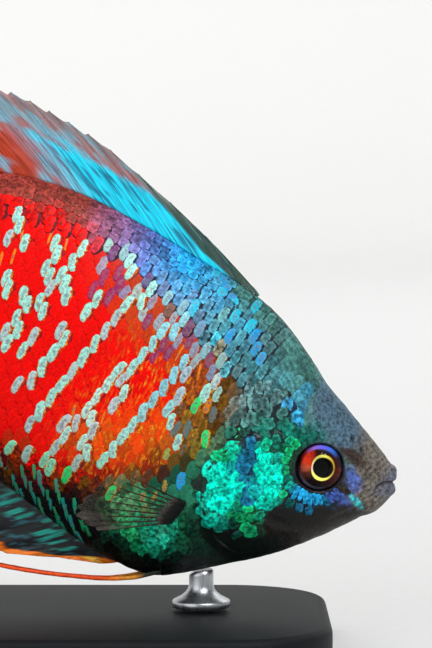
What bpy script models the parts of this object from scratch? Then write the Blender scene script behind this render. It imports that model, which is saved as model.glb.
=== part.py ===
"""Male dwarf gourami, life size, held head-down over a flat base by one short rod.

The fish is drawn in its own frame, in millimetres: x runs back from the snout, y out to its left side and
z up from the snout. placed() tilts it head-down and lifts it over the base, in metres.
"""

import math

import bmesh
import bpy
import numpy as np
from mathutils import Vector

MM = 0.001

# Pose and stand
HEAD_DOWN_DEG = 20.0
SNOUT_X = 37.0
SNOUT_HEIGHT = 16.0
GAP = 0.3
BASE_LENGTH = 62.0
BASE_WIDTH = 34.0
BASE_THICKNESS = 4.0
BASE_CORNER = 9.0
BASE_EDGE = 0.7
ROD_STATION = 13.6
ROD_RADIUS = 1.1
ROD_FOOT_RADIUS = 2.6
ROD_FOOT_HEIGHT = 1.2

# Body: its length without the tail fin, where it is parted, and its outline, as (station, size) pairs
BODY_LENGTH = 65.0
HEAD_END = 16.9
TRUNK_END = 52.0
BACK = [
    (0.0, 0.25), (1.1, 1.15), (3.5, 2.7), (7.2, 4.9), (9.0, 6.0), (11.1, 7.75), (14.7, 10.1),
    (17.5, 11.2), (23.5, 12.5), (29.0, 13.6), (36.5, 14.4), (42.0, 13.9), (48.0, 11.9),
    (55.0, 8.7), (60.0, 6.4), (65.0, 5.4),
]
BELLY = [
    (0.0, -2.0), (0.5, -3.15), (1.85, -4.5), (4.6, -7.3), (7.5, -9.8), (12.1, -12.8), (15.2, -14.7),
    (17.8, -15.75), (21.0, -15.7), (24.3, -15.15), (31.0, -13.1), (38.0, -11.0), (46.0, -8.9),
    (54.0, -7.2), (60.0, -6.3), (65.0, -6.0),
]
WIDEST_LINE = [(0.0, -0.8), (6.7, -2.6), (17.0, -4.0), (27.0, -2.6), (42.0, -0.8), (65.0, -0.4)]
HALF_WIDTH = [
    (0.0, 0.75), (0.5, 1.2), (1.5, 1.75), (3.5, 2.5), (6.5, 3.35), (10.0, 4.15), (14.0, 4.8),
    (18.0, 5.15), (23.0, 5.3), (30.0, 5.05), (38.0, 4.3), (46.0, 3.3), (54.0, 2.25), (60.0, 1.6),
    (65.0, 1.2),
]
BACK_KEEL = 1.3
BELLY_KEEL = 1.12
TAIL_SWING = 3.2
TAIL_SWING_START = 34.0
BODY_SIDES = 28
HEAD_STATIONS = 24
TRUNK_STATIONS = 24
TAIL_STATIONS = 9

# Head: eyes, lips, nostrils and gill covers
EYE_STATION = 7.0
EYE_HEIGHT = -1.28
EYE_RADIUS = 2.05
EYE_HALF_DEPTH = 1.3
EYE_OUT = 0.62
MOUTH_CORNER = (1.7, 1.5, -1.45)
UPPER_LIP_FRONT = (0.3, 0.0, 0.02)
LOWER_LIP_FRONT = (0.05, 0.0, -0.98)
LIP_RADIUS = 0.52
LIP_CORNER_RADIUS = 0.34
UPPER_CORNER_LIFT = 0.12
LOWER_CORNER_LIFT = -0.25
LIP_STEPS = 12
LIP_SIDES = 8
NOSTRILS = ((3.9, 1.35), (5.0, 2.05))
NOSTRIL_RADIUS = 0.3
GILL_CENTRE = (9.4, -5.4)
GILL_REACH = (7.1, 5.9)
GILL_ABOVE_BELLY = 1.1
GILL_RISE = 0.4
GILL_DEPTH = 0.7
GILL_SPOKES = 22
GILL_HOOPS = 5

# Unpaired fins: where the base runs, how many rays, and each ray's length and lean behind its root
DORSAL_BASE = (17.6, 59.0)
DORSAL_RAYS = 24
DORSAL_LENGTH = [
    (17.6, 2.6), (19.5, 5.0), (22.0, 8.3), (25.0, 11.0), (28.0, 11.6), (36.5, 12.0), (45.0, 12.8),
    (52.0, 15.4), (56.0, 12.4), (59.0, 7.0),
]
DORSAL_LEAN = [(17.6, 38.0), (28.0, 37.0), (36.5, 35.0), (45.0, 28.0), (52.0, 16.0), (59.0, 6.0)]
ANAL_BASE = (21.2, 60.0)
ANAL_RAYS = 32
ANAL_LENGTH = [(21.2, 1.5), (22.7, 3.3), (24.9, 6.3), (28.0, 8.4), (32.0, 9.9), (40.0, 11.0), (50.0, 12.8), (55.0, 13.4), (60.0, 6.8)]
ANAL_LEAN = [(21.2, 30.0), (26.0, 37.0), (40.0, 35.0), (50.0, 24.0), (60.0, 7.0)]
FIN_ROWS = 7
FIN_ROOT_HALF = 0.5
RAY_HALF = 0.42
MEMBRANE_HALF = 0.25
FIN_EDGE_HALF = 0.14
EDGE_NOTCH = 0.05
RAY_CURL_DEG = 10.0

# Tail fin
TAIL_FIN_RAYS = 15
TAIL_FIN_LENGTH = 15.6
TAIL_FIN_CORNER_SHARE = 0.76
TAIL_FIN_SPREAD_DEG = 28.0
TAIL_FIN_CURL = 0.25
TAIL_FIN_ROOT_HALF = 0.75

# Paired fins
PECTORAL_ROOT = ((17.6, -8.0), (18.2, -10.4))
PECTORAL_RAYS = 11
PECTORAL_ANGLES_DEG = (7.0, -25.0)
PECTORAL_LENGTH = [(0.0, 6.2), (0.25, 7.3), (0.5, 8.1), (0.75, 8.3), (1.0, 6.0)]
PECTORAL_SPLAY_DEG = 13.0
PECTORAL_ROWS = 6
PECTORAL_ROOT_HALF = 0.36
FEELER_ROOT = (18.3, 1.15)
FEELER_NEAR = [(20.6, -17.0), (24.4, -18.1), (29.8, -19.2), (38.0, -19.9), (46.0, -19.7), (54.0, -18.6)]
FEELER_FAR = [(20.6, -17.2), (24.4, -18.45), (29.8, -19.6), (38.0, -20.35), (46.0, -20.15), (53.0, -19.2)]
FEELER_SPREAD = 1.9
FEELER_ROOT_RADIUS = 0.42
FEELER_TIP_RADIUS = 0.2
FEELER_SIDES = 6
FEELER_STEPS = 22

# Colours, linear, with roughness
SKINS = {
    "head": ((0.02, 0.30, 0.27), 0.35),
    "trunk": ((0.62, 0.03, 0.01), 0.35),
    "tail_stalk": ((0.55, 0.03, 0.02), 0.35),
    "eye": ((0.30, 0.03, 0.01), 0.1),
    "dorsal_fin": ((0.01, 0.33, 0.55), 0.3),
    "anal_fin": ((0.02, 0.10, 0.20), 0.3),
    "caudal_fin": ((0.50, 0.06, 0.03), 0.3),
    "pectoral_fin": ((0.25, 0.16, 0.10), 0.3),
    "pelvic_feeler": ((0.80, 0.10, 0.02), 0.4),
    "stand_base": ((0.03, 0.03, 0.03), 0.45),
    "stand_rod": ((0.45, 0.45, 0.47), 0.25),
}


def smooth(points):
    """A smooth curve through (station, value) pairs, as a function of the station."""
    stations, values = np.array(points, float).T
    slopes = np.gradient(values, stations)

    def value(at):
        i = int(np.clip(np.searchsorted(stations, at) - 1, 0, len(stations) - 2))
        step = stations[i + 1] - stations[i]
        t = min(max((at - stations[i]) / step, 0.0), 1.0)
        return float(
            (1 + 2 * t) * (1 - t) ** 2 * values[i]
            + t * (1 - t) ** 2 * step * slopes[i]
            + t * t * (3 - 2 * t) * values[i + 1]
            + t * t * (t - 1) * step * slopes[i + 1]
        )

    return value


back, belly = smooth(BACK), smooth(BELLY)
widest_line, half_width = smooth(WIDEST_LINE), smooth(HALF_WIDTH)


def swing(x):
    """How far the body has swung to its left at a station, as the tail curves."""
    reach = max(x - TAIL_SWING_START, 0.0) / (BODY_LENGTH + TAIL_FIN_LENGTH - TAIL_SWING_START)
    return TAIL_SWING * reach**2


def placed(x, y, z):
    """A point of the fish's frame, in the model's frame, in metres."""
    tilt = math.radians(HEAD_DOWN_DEG)
    return Vector((
        SNOUT_X - x * math.cos(tilt) + z * math.sin(tilt),
        y,
        SNOUT_HEIGHT + x * math.sin(tilt) + z * math.cos(tilt),
    )) * MM


def flank(x, z):
    """The body's half width at a station and a height, without the tail's swing."""
    middle = widest_line(x)
    edge = back(x) if z > middle else belly(x)
    keel = BACK_KEEL if z > middle else BELLY_KEEL
    share = min(abs(z - middle) / abs(edge - middle), 1.0)
    return half_width(x) * math.sqrt(1 - share * share) ** keel


def underside(x, y):
    """The height of the body's lower surface at a station and a distance from its middle."""
    middle, share = widest_line(x), min(abs(y) / half_width(x), 1.0) ** (1 / BELLY_KEEL)
    return middle + (belly(x) - middle) * math.sqrt(1 - share * share)


def section(x, sides=BODY_SIDES, shrink=1.0):
    """One ring of the body, with a narrow flat along the back and the belly for the fins to stand on."""
    middle, ring = widest_line(x), []
    for k in range(sides):
        angle = (k + 0.5) * 2 * math.pi / sides
        rise = math.cos(angle) / math.cos(math.pi / sides)
        edge, keel = (back(x), BACK_KEEL) if rise > 0 else (belly(x), BELLY_KEEL)
        out = math.copysign(abs(math.sin(angle)) ** keel, math.sin(angle)) * half_width(x)
        ring.append((x, swing(x) + out * shrink, middle + (edge - middle) * abs(rise) * shrink))
    return ring


def paint(obj, look):
    colour, roughness = SKINS[look]
    material = bpy.data.materials.get(look) or bpy.data.materials.new(look)
    material.use_nodes = True
    shader = material.node_tree.nodes["Principled BSDF"]
    shader.inputs["Base Color"].default_value = (*colour, 1.0)
    shader.inputs["Roughness"].default_value = roughness
    shader.inputs["Metallic"].default_value = 1.0 if look == "stand_rod" else 0.0
    obj.data.materials.clear()
    obj.data.materials.append(material)


def solid(name, points, faces, look, in_fish_frame=True):
    """A closed mesh object from points and faces, with its faces turned outwards."""
    mesh = bpy.data.meshes.new(name)
    spots = [placed(*p) if in_fish_frame else Vector(p) * MM for p in points]
    mesh.from_pydata(spots, [], faces)
    shell = bmesh.new()
    shell.from_mesh(mesh)
    bmesh.ops.recalc_face_normals(shell, faces=shell.faces)
    if shell.calc_volume(signed=True) < 0:
        bmesh.ops.reverse_faces(shell, faces=shell.faces)
    shell.to_mesh(mesh)
    shell.free()
    obj = bpy.data.objects.new(name, mesh)
    bpy.context.scene.collection.objects.link(obj)
    paint(obj, look)
    return obj


def loft(name, rings, look, in_fish_frame=True):
    """A closed skin through rings of equal count, capped at both ends."""
    count = len(rings[0])
    faces = [tuple(range(count)), tuple(range((len(rings) - 1) * count, len(rings) * count))]
    for j in range(len(rings) - 1):
        for k in range(count):
            a, b = j * count + k, j * count + (k + 1) % count
            faces.append((a, b, b + count, a + count))
    return solid(name, [p for ring in rings for p in ring], faces, look, in_fish_frame)


def tube(name, path, radii, sides, look):
    """A round tapered tube along a path in the fish's frame."""
    spots = [Vector(p) for p in path]
    aside = Vector((0.0, 1.0, 0.0))
    rings = []
    for i, (spot, radius) in enumerate(zip(spots, radii)):
        along = (spots[min(i + 1, len(spots) - 1)] - spots[max(i - 1, 0)]).normalized()
        aside = (aside - along * aside.dot(along)).normalized()
        over = along.cross(aside)
        turns = [2 * math.pi * k / sides for k in range(sides)]
        rings.append([spot + (aside * math.cos(t) + over * math.sin(t)) * radius for t in turns])
    return loft(name, rings, look)


def sheet(name, middle, half, look):
    """A thin closed vane: a grid of points in its middle, thickened to each side along y."""
    columns, rows = len(middle), len(middle[0])
    points, faces = [], []
    for side in (1, -1):
        for i in range(columns):
            for j in range(rows):
                x, y, z = middle[i][j]
                points.append((x, y + side * half[i][j], z))

    def at(side, i, j):
        return side * columns * rows + i * rows + j

    for side in (0, 1):
        for i in range(columns - 1):
            for j in range(rows - 1):
                corners = [at(side, i, j), at(side, i + 1, j), at(side, i + 1, j + 1), at(side, i, j + 1)]
                faces += [(corners[0], corners[1], corners[2]), (corners[0], corners[2], corners[3])]
    rim = [(i, 0) for i in range(columns)] + [(columns - 1, j) for j in range(1, rows)]
    rim += [(i, rows - 1) for i in range(columns - 2, -1, -1)] + [(0, j) for j in range(rows - 2, 0, -1)]
    for (i, j), (k, m) in zip(rim, rim[1:] + rim[:1]):
        faces += [(at(0, i, j), at(0, k, m), at(1, k, m)), (at(0, i, j), at(1, k, m), at(1, i, j))]
    return solid(name, points, faces, look)


def ray_grid(count, rows, root, reach, root_half):
    """The middle and half thickness of a fin. Every other column is a ray, which stands proud of the
    membrane and reaches a little past it at the edge."""
    middle, half = [], []
    columns = 2 * count - 1
    for i in range(columns):
        share, is_ray = i / (columns - 1), i % 2 == 0
        body = RAY_HALF if is_ray else MEMBRANE_HALF
        line, thickness = [], []
        for j in range(rows + 1):
            out = j / rows
            length = out if is_ray else out * (1 - EDGE_NOTCH)
            line.append(reach(share, length) if j else root(share))
            thickness.append(body + (root_half - body) * (1 - out) ** 2)
        thickness[-1] = FIN_EDGE_HALF
        middle.append(line)
        half.append(thickness)
    return middle, half


def unpaired_fin(name, base, rays, length, lean, edge, side, look):
    """A fin on the body's back (side 1) or belly (side -1), its rays leaning backwards."""
    ray_length, ray_lean = smooth(length), smooth(lean)

    def station(share):
        return base[0] + share * (base[1] - base[0])

    def root(share):
        x = station(share)
        return x, swing(x), edge(x) + side * GAP

    def reach(share, out):
        x, _, z = root(share)
        angle = math.radians(ray_lean(x) - RAY_CURL_DEG * out / 2)
        far = ray_length(x) * out
        tip_x = x + far * math.cos(angle)
        return tip_x, swing(tip_x), z + side * far * math.sin(angle)

    grid = ray_grid(rays, FIN_ROWS, root, reach, FIN_ROOT_HALF)
    return sheet(name, *grid, look)


def tail_fin():
    """The rounded fan behind the tail stalk."""
    top, bottom = back(BODY_LENGTH) - GAP, belly(BODY_LENGTH) + GAP
    x0 = BODY_LENGTH + GAP

    def root(share):
        return x0, swing(x0), top + share * (bottom - top)

    def reach(share, out):
        _, _, z = root(share)
        angle = math.radians(TAIL_FIN_SPREAD_DEG * (1 - 2 * share) * (1 - TAIL_FIN_CURL * out))
        off_centre = abs(1 - 2 * share)
        far = TAIL_FIN_LENGTH * (1 - (1 - TAIL_FIN_CORNER_SHARE) * off_centre**3) * out
        x = x0 + far * math.cos(angle)
        return x, swing(x), z + far * math.sin(angle)

    grid = ray_grid(TAIL_FIN_RAYS, FIN_ROWS + 1, root, reach, TAIL_FIN_ROOT_HALF)
    return sheet("caudal_fin", *grid, "caudal_fin")


def pectoral_fin(name, side):
    """A fan that lies against the flank at its root and stands off it further back."""
    (x_top, z_top), (x_low, z_low) = PECTORAL_ROOT
    length = smooth(PECTORAL_LENGTH)
    splay = math.radians(PECTORAL_SPLAY_DEG)

    def root(share):
        x, z = x_top + share * (x_low - x_top), z_top + share * (z_low - z_top)
        return x, side * (flank(x, z) + GAP + PECTORAL_ROOT_HALF), z

    def reach(share, out):
        x, y, z = root(share)
        first, last = PECTORAL_ANGLES_DEG
        angle = math.radians(first + share * (last - first))
        far = length(share) * out
        across = far * math.cos(splay)
        return x + across * math.cos(angle), y + side * far * math.sin(splay), z + across * math.sin(angle)

    grid = ray_grid(PECTORAL_RAYS, PECTORAL_ROWS, root, reach, PECTORAL_ROOT_HALF)
    return sheet(name, *grid, "pectoral_fin")


def pelvic_feeler(name, side, trail):
    """The long thread that each pelvic fin is: it leaves the belly downwards and trails back below it."""
    x0, y0 = FEELER_ROOT
    start = Vector((x0, side * y0, underside(x0, y0 - FEELER_ROOT_RADIUS) - GAP))
    turn = start + Vector((0.35, 0.0, -0.45))
    last_x = trail[-1][0]
    line = smooth([(turn.x, turn.z), *trail])
    path, radii = [start, start + Vector((0.05, 0.0, -0.2)), turn], [FEELER_ROOT_RADIUS] * 3
    for k in range(1, FEELER_STEPS + 1):
        share = k / FEELER_STEPS
        x = turn.x + share * (last_x - turn.x)
        y = side * (y0 + (FEELER_SPREAD - y0) * min(1.0, 3 * share)) + swing(x)
        path.append(Vector((x, y, line(x))))
        radii.append(FEELER_ROOT_RADIUS + (FEELER_TIP_RADIUS - FEELER_ROOT_RADIUS) * share)
    return tube(name, path, radii, FEELER_SIDES, "pelvic_feeler")


def ellipsoid(name, centre, radii, look, segments=20, rings=12):
    """A closed ellipsoid with its poles on the y axis."""
    cx, cy, cz = centre
    rx, ry, rz = radii
    rows = []
    for j in range(1, rings):
        lift = math.pi * j / rings
        turns = [2 * math.pi * k / segments for k in range(segments)]
        y, across, down = cy - ry * math.cos(lift), rx * math.sin(lift), rz * math.sin(lift)
        rows.append([(cx + across * math.cos(t), y, cz + down * math.sin(t)) for t in turns])
    points = [(cx, cy - ry, cz), *[p for row in rows for p in row], (cx, cy + ry, cz)]
    faces = []
    for k in range(segments):
        nxt = (k + 1) % segments
        faces.append((0, 1 + nxt, 1 + k))
        tail = 1 + (rings - 2) * segments
        faces.append((tail + k, tail + nxt, len(points) - 1))
        for j in range(rings - 2):
            a, b = 1 + j * segments + k, 1 + j * segments + nxt
            faces.append((a, b, b + segments, a + segments))
    return solid(name, points, faces, look)


def eye_centre(side):
    out = flank(EYE_STATION, EYE_HEIGHT) - EYE_HALF_DEPTH + EYE_OUT
    return EYE_STATION, side * out, EYE_HEIGHT


def lip(name, front, lift):
    """A rounded lip from one corner of the mouth round the front to the other."""
    x0, y0, z0 = MOUTH_CORNER
    path, radii = [], []
    for k in range(LIP_STEPS + 1):
        turn = math.pi * (k / LIP_STEPS - 0.5)
        near = math.cos(turn)
        z = z0 + lift * (1 - near) + (front[2] - z0) * near
        path.append((x0 + (front[0] - x0) * near, y0 * math.sin(turn), z))
        radii.append(LIP_CORNER_RADIUS + (LIP_RADIUS - LIP_CORNER_RADIUS) * near)
    return tube(name, path, radii, LIP_SIDES, "head")


def gill_cover(name, side):
    """A curved plate, sunk in the cheek in front and standing proud along its round rear edge."""
    spokes, hoops = GILL_SPOKES, GILL_HOOPS
    outer, inner = [], []
    for j in range(hoops + 1):
        share = j / hoops
        ring_out, ring_in = [], []
        for k in range(spokes):
            turn = 2 * math.pi * k / spokes
            x = GILL_CENTRE[0] + GILL_REACH[0] * share * math.cos(turn)
            z = GILL_CENTRE[1] + GILL_REACH[1] * share * math.sin(turn)
            z = max(z, belly(x) + GILL_ABOVE_BELLY)
            rear = 0.5 + 0.5 * math.cos(turn)
            proud = GILL_RISE * (rear * share * 2.2 - 1.0) if share else -GILL_RISE
            proud = min(proud, GILL_RISE)
            ring_out.append((x, side * (flank(x, z) + proud), z))
            ring_in.append((x, side * (flank(x, z) - GILL_DEPTH), z))
        outer.append(ring_out)
        inner.append(ring_in)
    points = [outer[0][0], inner[0][0]]
    points += [p for ring in outer[1:] for p in ring] + [p for ring in inner[1:] for p in ring]
    faces = []
    for layer, hub in ((0, 0), (1, 1)):
        first = 2 + layer * hoops * spokes
        for k in range(spokes):
            nxt = (k + 1) % spokes
            faces.append((hub, first + k, first + nxt))
            for j in range(hoops - 1):
                a, b = first + j * spokes + k, first + j * spokes + nxt
                faces.append((a, b, b + spokes, a + spokes))
    edge_out, edge_in = 2 + (hoops - 1) * spokes, 2 + (2 * hoops - 1) * spokes
    for k in range(spokes):
        nxt = (k + 1) % spokes
        faces.append((edge_out + k, edge_out + nxt, edge_in + nxt, edge_in + k))
    return solid(name, points, faces, "head")


def combine(obj, pieces, operation):
    """One Boolean of a collection of closed pieces on an object, applied, with the pieces removed."""
    group = bpy.data.collections.new("pieces")
    bpy.context.scene.collection.children.link(group)
    for piece in pieces:
        bpy.context.scene.collection.objects.unlink(piece)
        group.objects.link(piece)
    boolean = obj.modifiers.new("combine", "BOOLEAN")
    boolean.operand_type = "COLLECTION"
    boolean.collection = group
    boolean.operation = operation
    boolean.solver = "EXACT"
    graph = bpy.context.evaluated_depsgraph_get()
    made = bpy.data.meshes.new_from_object(obj.evaluated_get(graph))
    obj.modifiers.remove(boolean)
    obj.data = made
    for piece in pieces:
        bpy.data.objects.remove(piece)
    bpy.data.collections.remove(group)
    keep_largest(obj)


def keep_largest(obj):
    """Leaves only the object's largest closed surface."""
    shell = bmesh.new()
    shell.from_mesh(obj.data)
    left, groups = set(shell.verts), []
    while left:
        stack, found = [left.pop()], set()
        while stack:
            vert = stack.pop()
            found.add(vert)
            for edge in vert.link_edges:
                other = edge.other_vert(vert)
                if other in left:
                    left.discard(other)
                    stack.append(other)
        groups.append(found)
    groups.sort(key=len)
    bmesh.ops.delete(shell, geom=[v for group in groups[:-1] for v in group], context="VERTS")
    shell.to_mesh(obj.data)
    shell.free()


def build_head():
    """The head to behind the gill covers, with lips, nostrils and an open socket for each eye."""
    stations = [0.25 + (HEAD_END - 0.25) * (k / HEAD_STATIONS) ** 1.5 for k in range(HEAD_STATIONS + 1)]
    rings = [section(0.0, shrink=0.7)] + [section(x) for x in stations]
    head = loft("head", rings, "head")
    added = [
        lip("upper_lip", UPPER_LIP_FRONT, UPPER_CORNER_LIFT),
        lip("lower_lip", LOWER_LIP_FRONT, LOWER_CORNER_LIFT),
        gill_cover("left_gill_cover", 1),
        gill_cover("right_gill_cover", -1),
    ]
    combine(head, added, "UNION")
    cutters = []
    for side, word in ((1, "left"), (-1, "right")):
        room = (EYE_RADIUS + GAP, EYE_HALF_DEPTH + GAP, EYE_RADIUS + GAP)
        cutters.append(ellipsoid(f"{word}_socket", eye_centre(side), room, "head"))
        for k, (x, z) in enumerate(NOSTRILS):
            spot = (x, side * flank(x, z), z)
            cutters.append(ellipsoid(f"{word}_nostril_{k}", spot, (NOSTRIL_RADIUS,) * 3, "head", 8, 6))
    combine(head, cutters, "DIFFERENCE")


def build_body():
    """The trunk and the tail stalk, a gap behind one another."""
    for name, first, last, count in (
        ("trunk", HEAD_END + GAP, TRUNK_END, TRUNK_STATIONS),
        ("tail_stalk", TRUNK_END + GAP, BODY_LENGTH, TAIL_STATIONS),
    ):
        rings = [section(first + (last - first) * k / count) for k in range(count + 1)]
        loft(name, rings, name)


def build_fins():
    unpaired_fin("dorsal_fin", DORSAL_BASE, DORSAL_RAYS, DORSAL_LENGTH, DORSAL_LEAN, back, 1, "dorsal_fin")
    unpaired_fin("anal_fin", ANAL_BASE, ANAL_RAYS, ANAL_LENGTH, ANAL_LEAN, belly, -1, "anal_fin")
    tail_fin()
    for side, word, trail in ((1, "left", FEELER_FAR), (-1, "right", FEELER_NEAR)):
        pectoral_fin(f"pectoral_fin_{word}", side)
        pelvic_feeler(f"pelvic_feeler_{word}", side, trail)


def build_eyes():
    for side, word in ((1, "left"), (-1, "right")):
        ellipsoid(f"eye_{word}", eye_centre(side), (EYE_RADIUS, EYE_HALF_DEPTH, EYE_RADIUS), "eye", 24, 14)


def belly_under(x_model, y):
    """The height of the fish's underside over a point of the base, in the model's frame, in millimetres."""
    tilt = math.radians(HEAD_DOWN_DEG)
    station = ROD_STATION
    for _ in range(20):
        z = belly(station)
        station += (SNOUT_X - station * math.cos(tilt) + z * math.sin(tilt) - x_model) / math.cos(tilt)
    return SNOUT_HEIGHT + station * math.sin(tilt) + underside(station, y) * math.cos(tilt)


def build_stand():
    """A flat base with rounded corners, and a rod with a foot, cut to the slope of the belly it meets."""
    corners = []
    half_length, half_wide = BASE_LENGTH / 2 - BASE_CORNER, BASE_WIDTH / 2 - BASE_CORNER
    for quarter, (cx, cy) in enumerate(((1, 1), (-1, 1), (-1, -1), (1, -1))):
        for k in range(7):
            turn = math.pi / 2 * (quarter + k / 6)
            corners.append((cx * half_length, cy * half_wide, math.cos(turn), math.sin(turn)))
    levels = [(0.0, 0.0), (BASE_THICKNESS - BASE_EDGE, 0.0), (BASE_THICKNESS, BASE_EDGE)]
    rings = [
        [(x + (BASE_CORNER - inset) * c, y + (BASE_CORNER - inset) * s, height) for x, y, c, s in corners]
        for height, inset in levels
    ]
    loft("stand_base", rings, "stand_base", in_fish_frame=False)

    rod_x = placed(ROD_STATION, 0.0, belly(ROD_STATION)).x / MM
    turns = [2 * math.pi * k / 16 for k in range(16)]
    foot = BASE_THICKNESS + GAP
    profile = [(ROD_FOOT_RADIUS, foot), (ROD_FOOT_RADIUS, foot + ROD_FOOT_HEIGHT * 0.5),
               (ROD_RADIUS * 1.3, foot + ROD_FOOT_HEIGHT), (ROD_RADIUS, foot + ROD_FOOT_HEIGHT * 1.4)]
    rings = [[(rod_x + r * math.cos(t), r * math.sin(t), z) for t in turns] for r, z in profile]
    top = []
    for t in turns:
        x, y = rod_x + ROD_RADIUS * math.cos(t), ROD_RADIUS * math.sin(t)
        top.append((x, y, belly_under(x, y) - GAP))
    rings.append(top)
    count = len(turns)
    points = [p for ring in rings for p in ring] + [(rod_x, 0.0, belly_under(rod_x, 0.0) - GAP)]
    faces = [tuple(range(count))]
    for j in range(len(rings) - 1):
        for k in range(count):
            a, b = j * count + k, j * count + (k + 1) % count
            faces.append((a, b, b + count, a + count))
    last = (len(rings) - 1) * count
    faces += [(last + k, last + (k + 1) % count, len(points) - 1) for k in range(count)]
    solid("stand_rod", points, faces, "stand_rod", in_fish_frame=False)


def main():
    for obj in list(bpy.data.objects):
        bpy.data.objects.remove(obj)
    build_head()
    build_body()
    build_fins()
    build_eyes()
    build_stand()


main()
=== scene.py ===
"""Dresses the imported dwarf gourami: skin, scales, fins, feelers, eyes, stand and a small studio.

Shapes are worked out in millimetres in the fish's own frame: u runs back from the snout, y to its
left and v up from the body's axis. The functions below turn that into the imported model's frame.
"""
import math

import bmesh
import bpy
import numpy as np
from bpy.props import FloatProperty, FloatVectorProperty, IntProperty, PointerProperty
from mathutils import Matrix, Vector


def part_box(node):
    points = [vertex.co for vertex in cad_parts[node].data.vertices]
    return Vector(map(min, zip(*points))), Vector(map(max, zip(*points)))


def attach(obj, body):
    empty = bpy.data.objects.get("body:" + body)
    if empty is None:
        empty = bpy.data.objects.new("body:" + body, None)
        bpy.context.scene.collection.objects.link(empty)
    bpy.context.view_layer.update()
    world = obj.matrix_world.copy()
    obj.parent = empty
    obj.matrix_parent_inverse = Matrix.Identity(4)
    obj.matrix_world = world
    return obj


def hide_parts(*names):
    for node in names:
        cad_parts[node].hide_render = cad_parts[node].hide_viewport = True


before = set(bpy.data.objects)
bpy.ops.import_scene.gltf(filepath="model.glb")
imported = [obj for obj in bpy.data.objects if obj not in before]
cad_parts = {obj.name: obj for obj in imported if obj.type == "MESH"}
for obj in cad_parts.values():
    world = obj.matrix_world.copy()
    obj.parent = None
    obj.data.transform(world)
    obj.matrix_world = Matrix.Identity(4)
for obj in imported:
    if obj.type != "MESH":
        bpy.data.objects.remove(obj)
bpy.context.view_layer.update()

bl_info = {
    "name": "Dwarf gourami dressing",
    "version": (1, 0, 0),
    "blender": (4, 5, 0),
    "location": "3D View > Sidebar > Gourami",
    "description": "Skin, scales, fins, eyes, stand finishes and studio for a life-size dwarf gourami",
    "category": "Object",
}

MM = 0.001

# The body, as the part's source has it: (station back from the snout, height or half width), in mm
HEAD_DOWN_DEG = 20.0
SNOUT_X = 37.0
SNOUT_HEIGHT = 16.0
BODY_LENGTH = 65.0
TAIL_FIN_LENGTH = 15.6
TAIL_SWING = 3.2
TAIL_SWING_START = 34.0
BACK = [
    (0, 0.25), (1.1, 1.15), (3.5, 2.7), (7.2, 4.9), (9, 6), (11.1, 7.75), (14.7, 10.1), (17.5, 11.2),
    (23.5, 12.5), (29, 13.6), (36.5, 14.4), (42, 13.9), (48, 11.9), (55, 8.7), (60, 6.4), (65, 5.4),
]
BELLY = [
    (0, -2), (0.5, -3.15), (1.85, -4.5), (4.6, -7.3), (7.5, -9.8), (12.1, -12.8), (15.2, -14.7),
    (17.8, -15.75), (21, -15.7), (24.3, -15.15), (31, -13.1), (38, -11), (46, -8.9), (54, -7.2),
    (60, -6.3), (65, -6),
]
WIDEST_LINE = [(0, -0.8), (6.7, -2.6), (17, -4), (27, -2.6), (42, -0.8), (65, -0.4)]
HALF_WIDTH = [
    (0, 0.75), (0.5, 1.2), (1.5, 1.75), (3.5, 2.5), (6.5, 3.35), (10, 4.15), (14, 4.8), (18, 5.15),
    (23, 5.3), (30, 5.05), (38, 4.3), (46, 3.3), (54, 2.25), (60, 1.6), (65, 1.2),
]
BACK_KEEL = 1.3
BELLY_KEEL = 1.12

# The head's parts
EYE_PLACE = (7.0, -1.28)
EYE_RADIUS = 2.05
EYE_HALF_DEPTH = 1.3
EYE_OUT = 0.62
PUPIL_SHIFT = (-0.32, 0.0)
MOUTH_CORNER = (1.7, 1.5, -1.45)
UPPER_LIP = ((0.72, 0.0, 0.38), 0.12, 0.62)
LOWER_LIP = ((0.22, 0.0, -1.2), -0.25, 0.58)
LIP_CORNER_RADIUS = 0.34
MOUTH_LINE = [(-0.5, -0.34), (0.7, -0.52), (1.8, -1.45)]
NOSTRILS = ((3.9, 1.35), (5.0, 2.05))
NOSTRIL_RADIUS = 0.22
GILL_CENTRE = (9.4, -5.4)
GILL_REACH = (7.1, 5.9)
GILL_ABOVE_BELLY = 1.1
GILL_RISE = 0.4
GILL_DEPTH = 0.7
SNOUT_FOLDS = (
    [(1.9, 0.5), (2.5, -0.9), (2.6, -2.3)],
    [(2.7, 0.3), (3.1, -1.6), (2.9, -3.4)],
    [(1.2, -2.6), (2.6, -3.7), (4.4, -5.2)],
)

# The fins: (station, ray length in mm) and (station, lean of the ray from the body's axis in degrees)
DORSAL_BASE = (17.6, 59.0)
DORSAL_RAYS = 24
DORSAL_LENGTH = [
    (17.6, 0.7), (18.4, 2.8), (19.5, 5), (22, 8.3), (25, 11), (28, 11.6), (36.5, 12), (45, 12.8),
    (52, 15.4), (56, 12.4), (59, 7),
]
DORSAL_LEAN = [(17.6, 38), (28, 37), (36.5, 35), (45, 28), (52, 16), (59, 6)]
ANAL_BASE = (21.2, 60.0)
ANAL_RAYS = 32
ANAL_LENGTH = [
    (21.2, 1.5), (22.7, 3.3), (24.9, 6.3), (28, 8.4), (32, 9.9), (40, 11), (50, 12.8), (55, 13.4), (60,
                                                                                                    6.8),
]
ANAL_LEAN = [(21.2, 30), (26, 37), (40, 35), (50, 24), (60, 7)]
RAY_CURL_DEG = 10.0
SPINY_SHARE = 0.62
TAIL_FIN_RAYS = 15
TAIL_FIN_CORNER_SHARE = 0.76
TAIL_FIN_SPREAD_DEG = 28.0
TAIL_FIN_CURL = 0.25
PECTORAL_ROOT = ((17.6, -8.0), (18.2, -10.4))
PECTORAL_RAYS = 9
PECTORAL_ANGLES_DEG = (7.0, -25.0)
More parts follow.
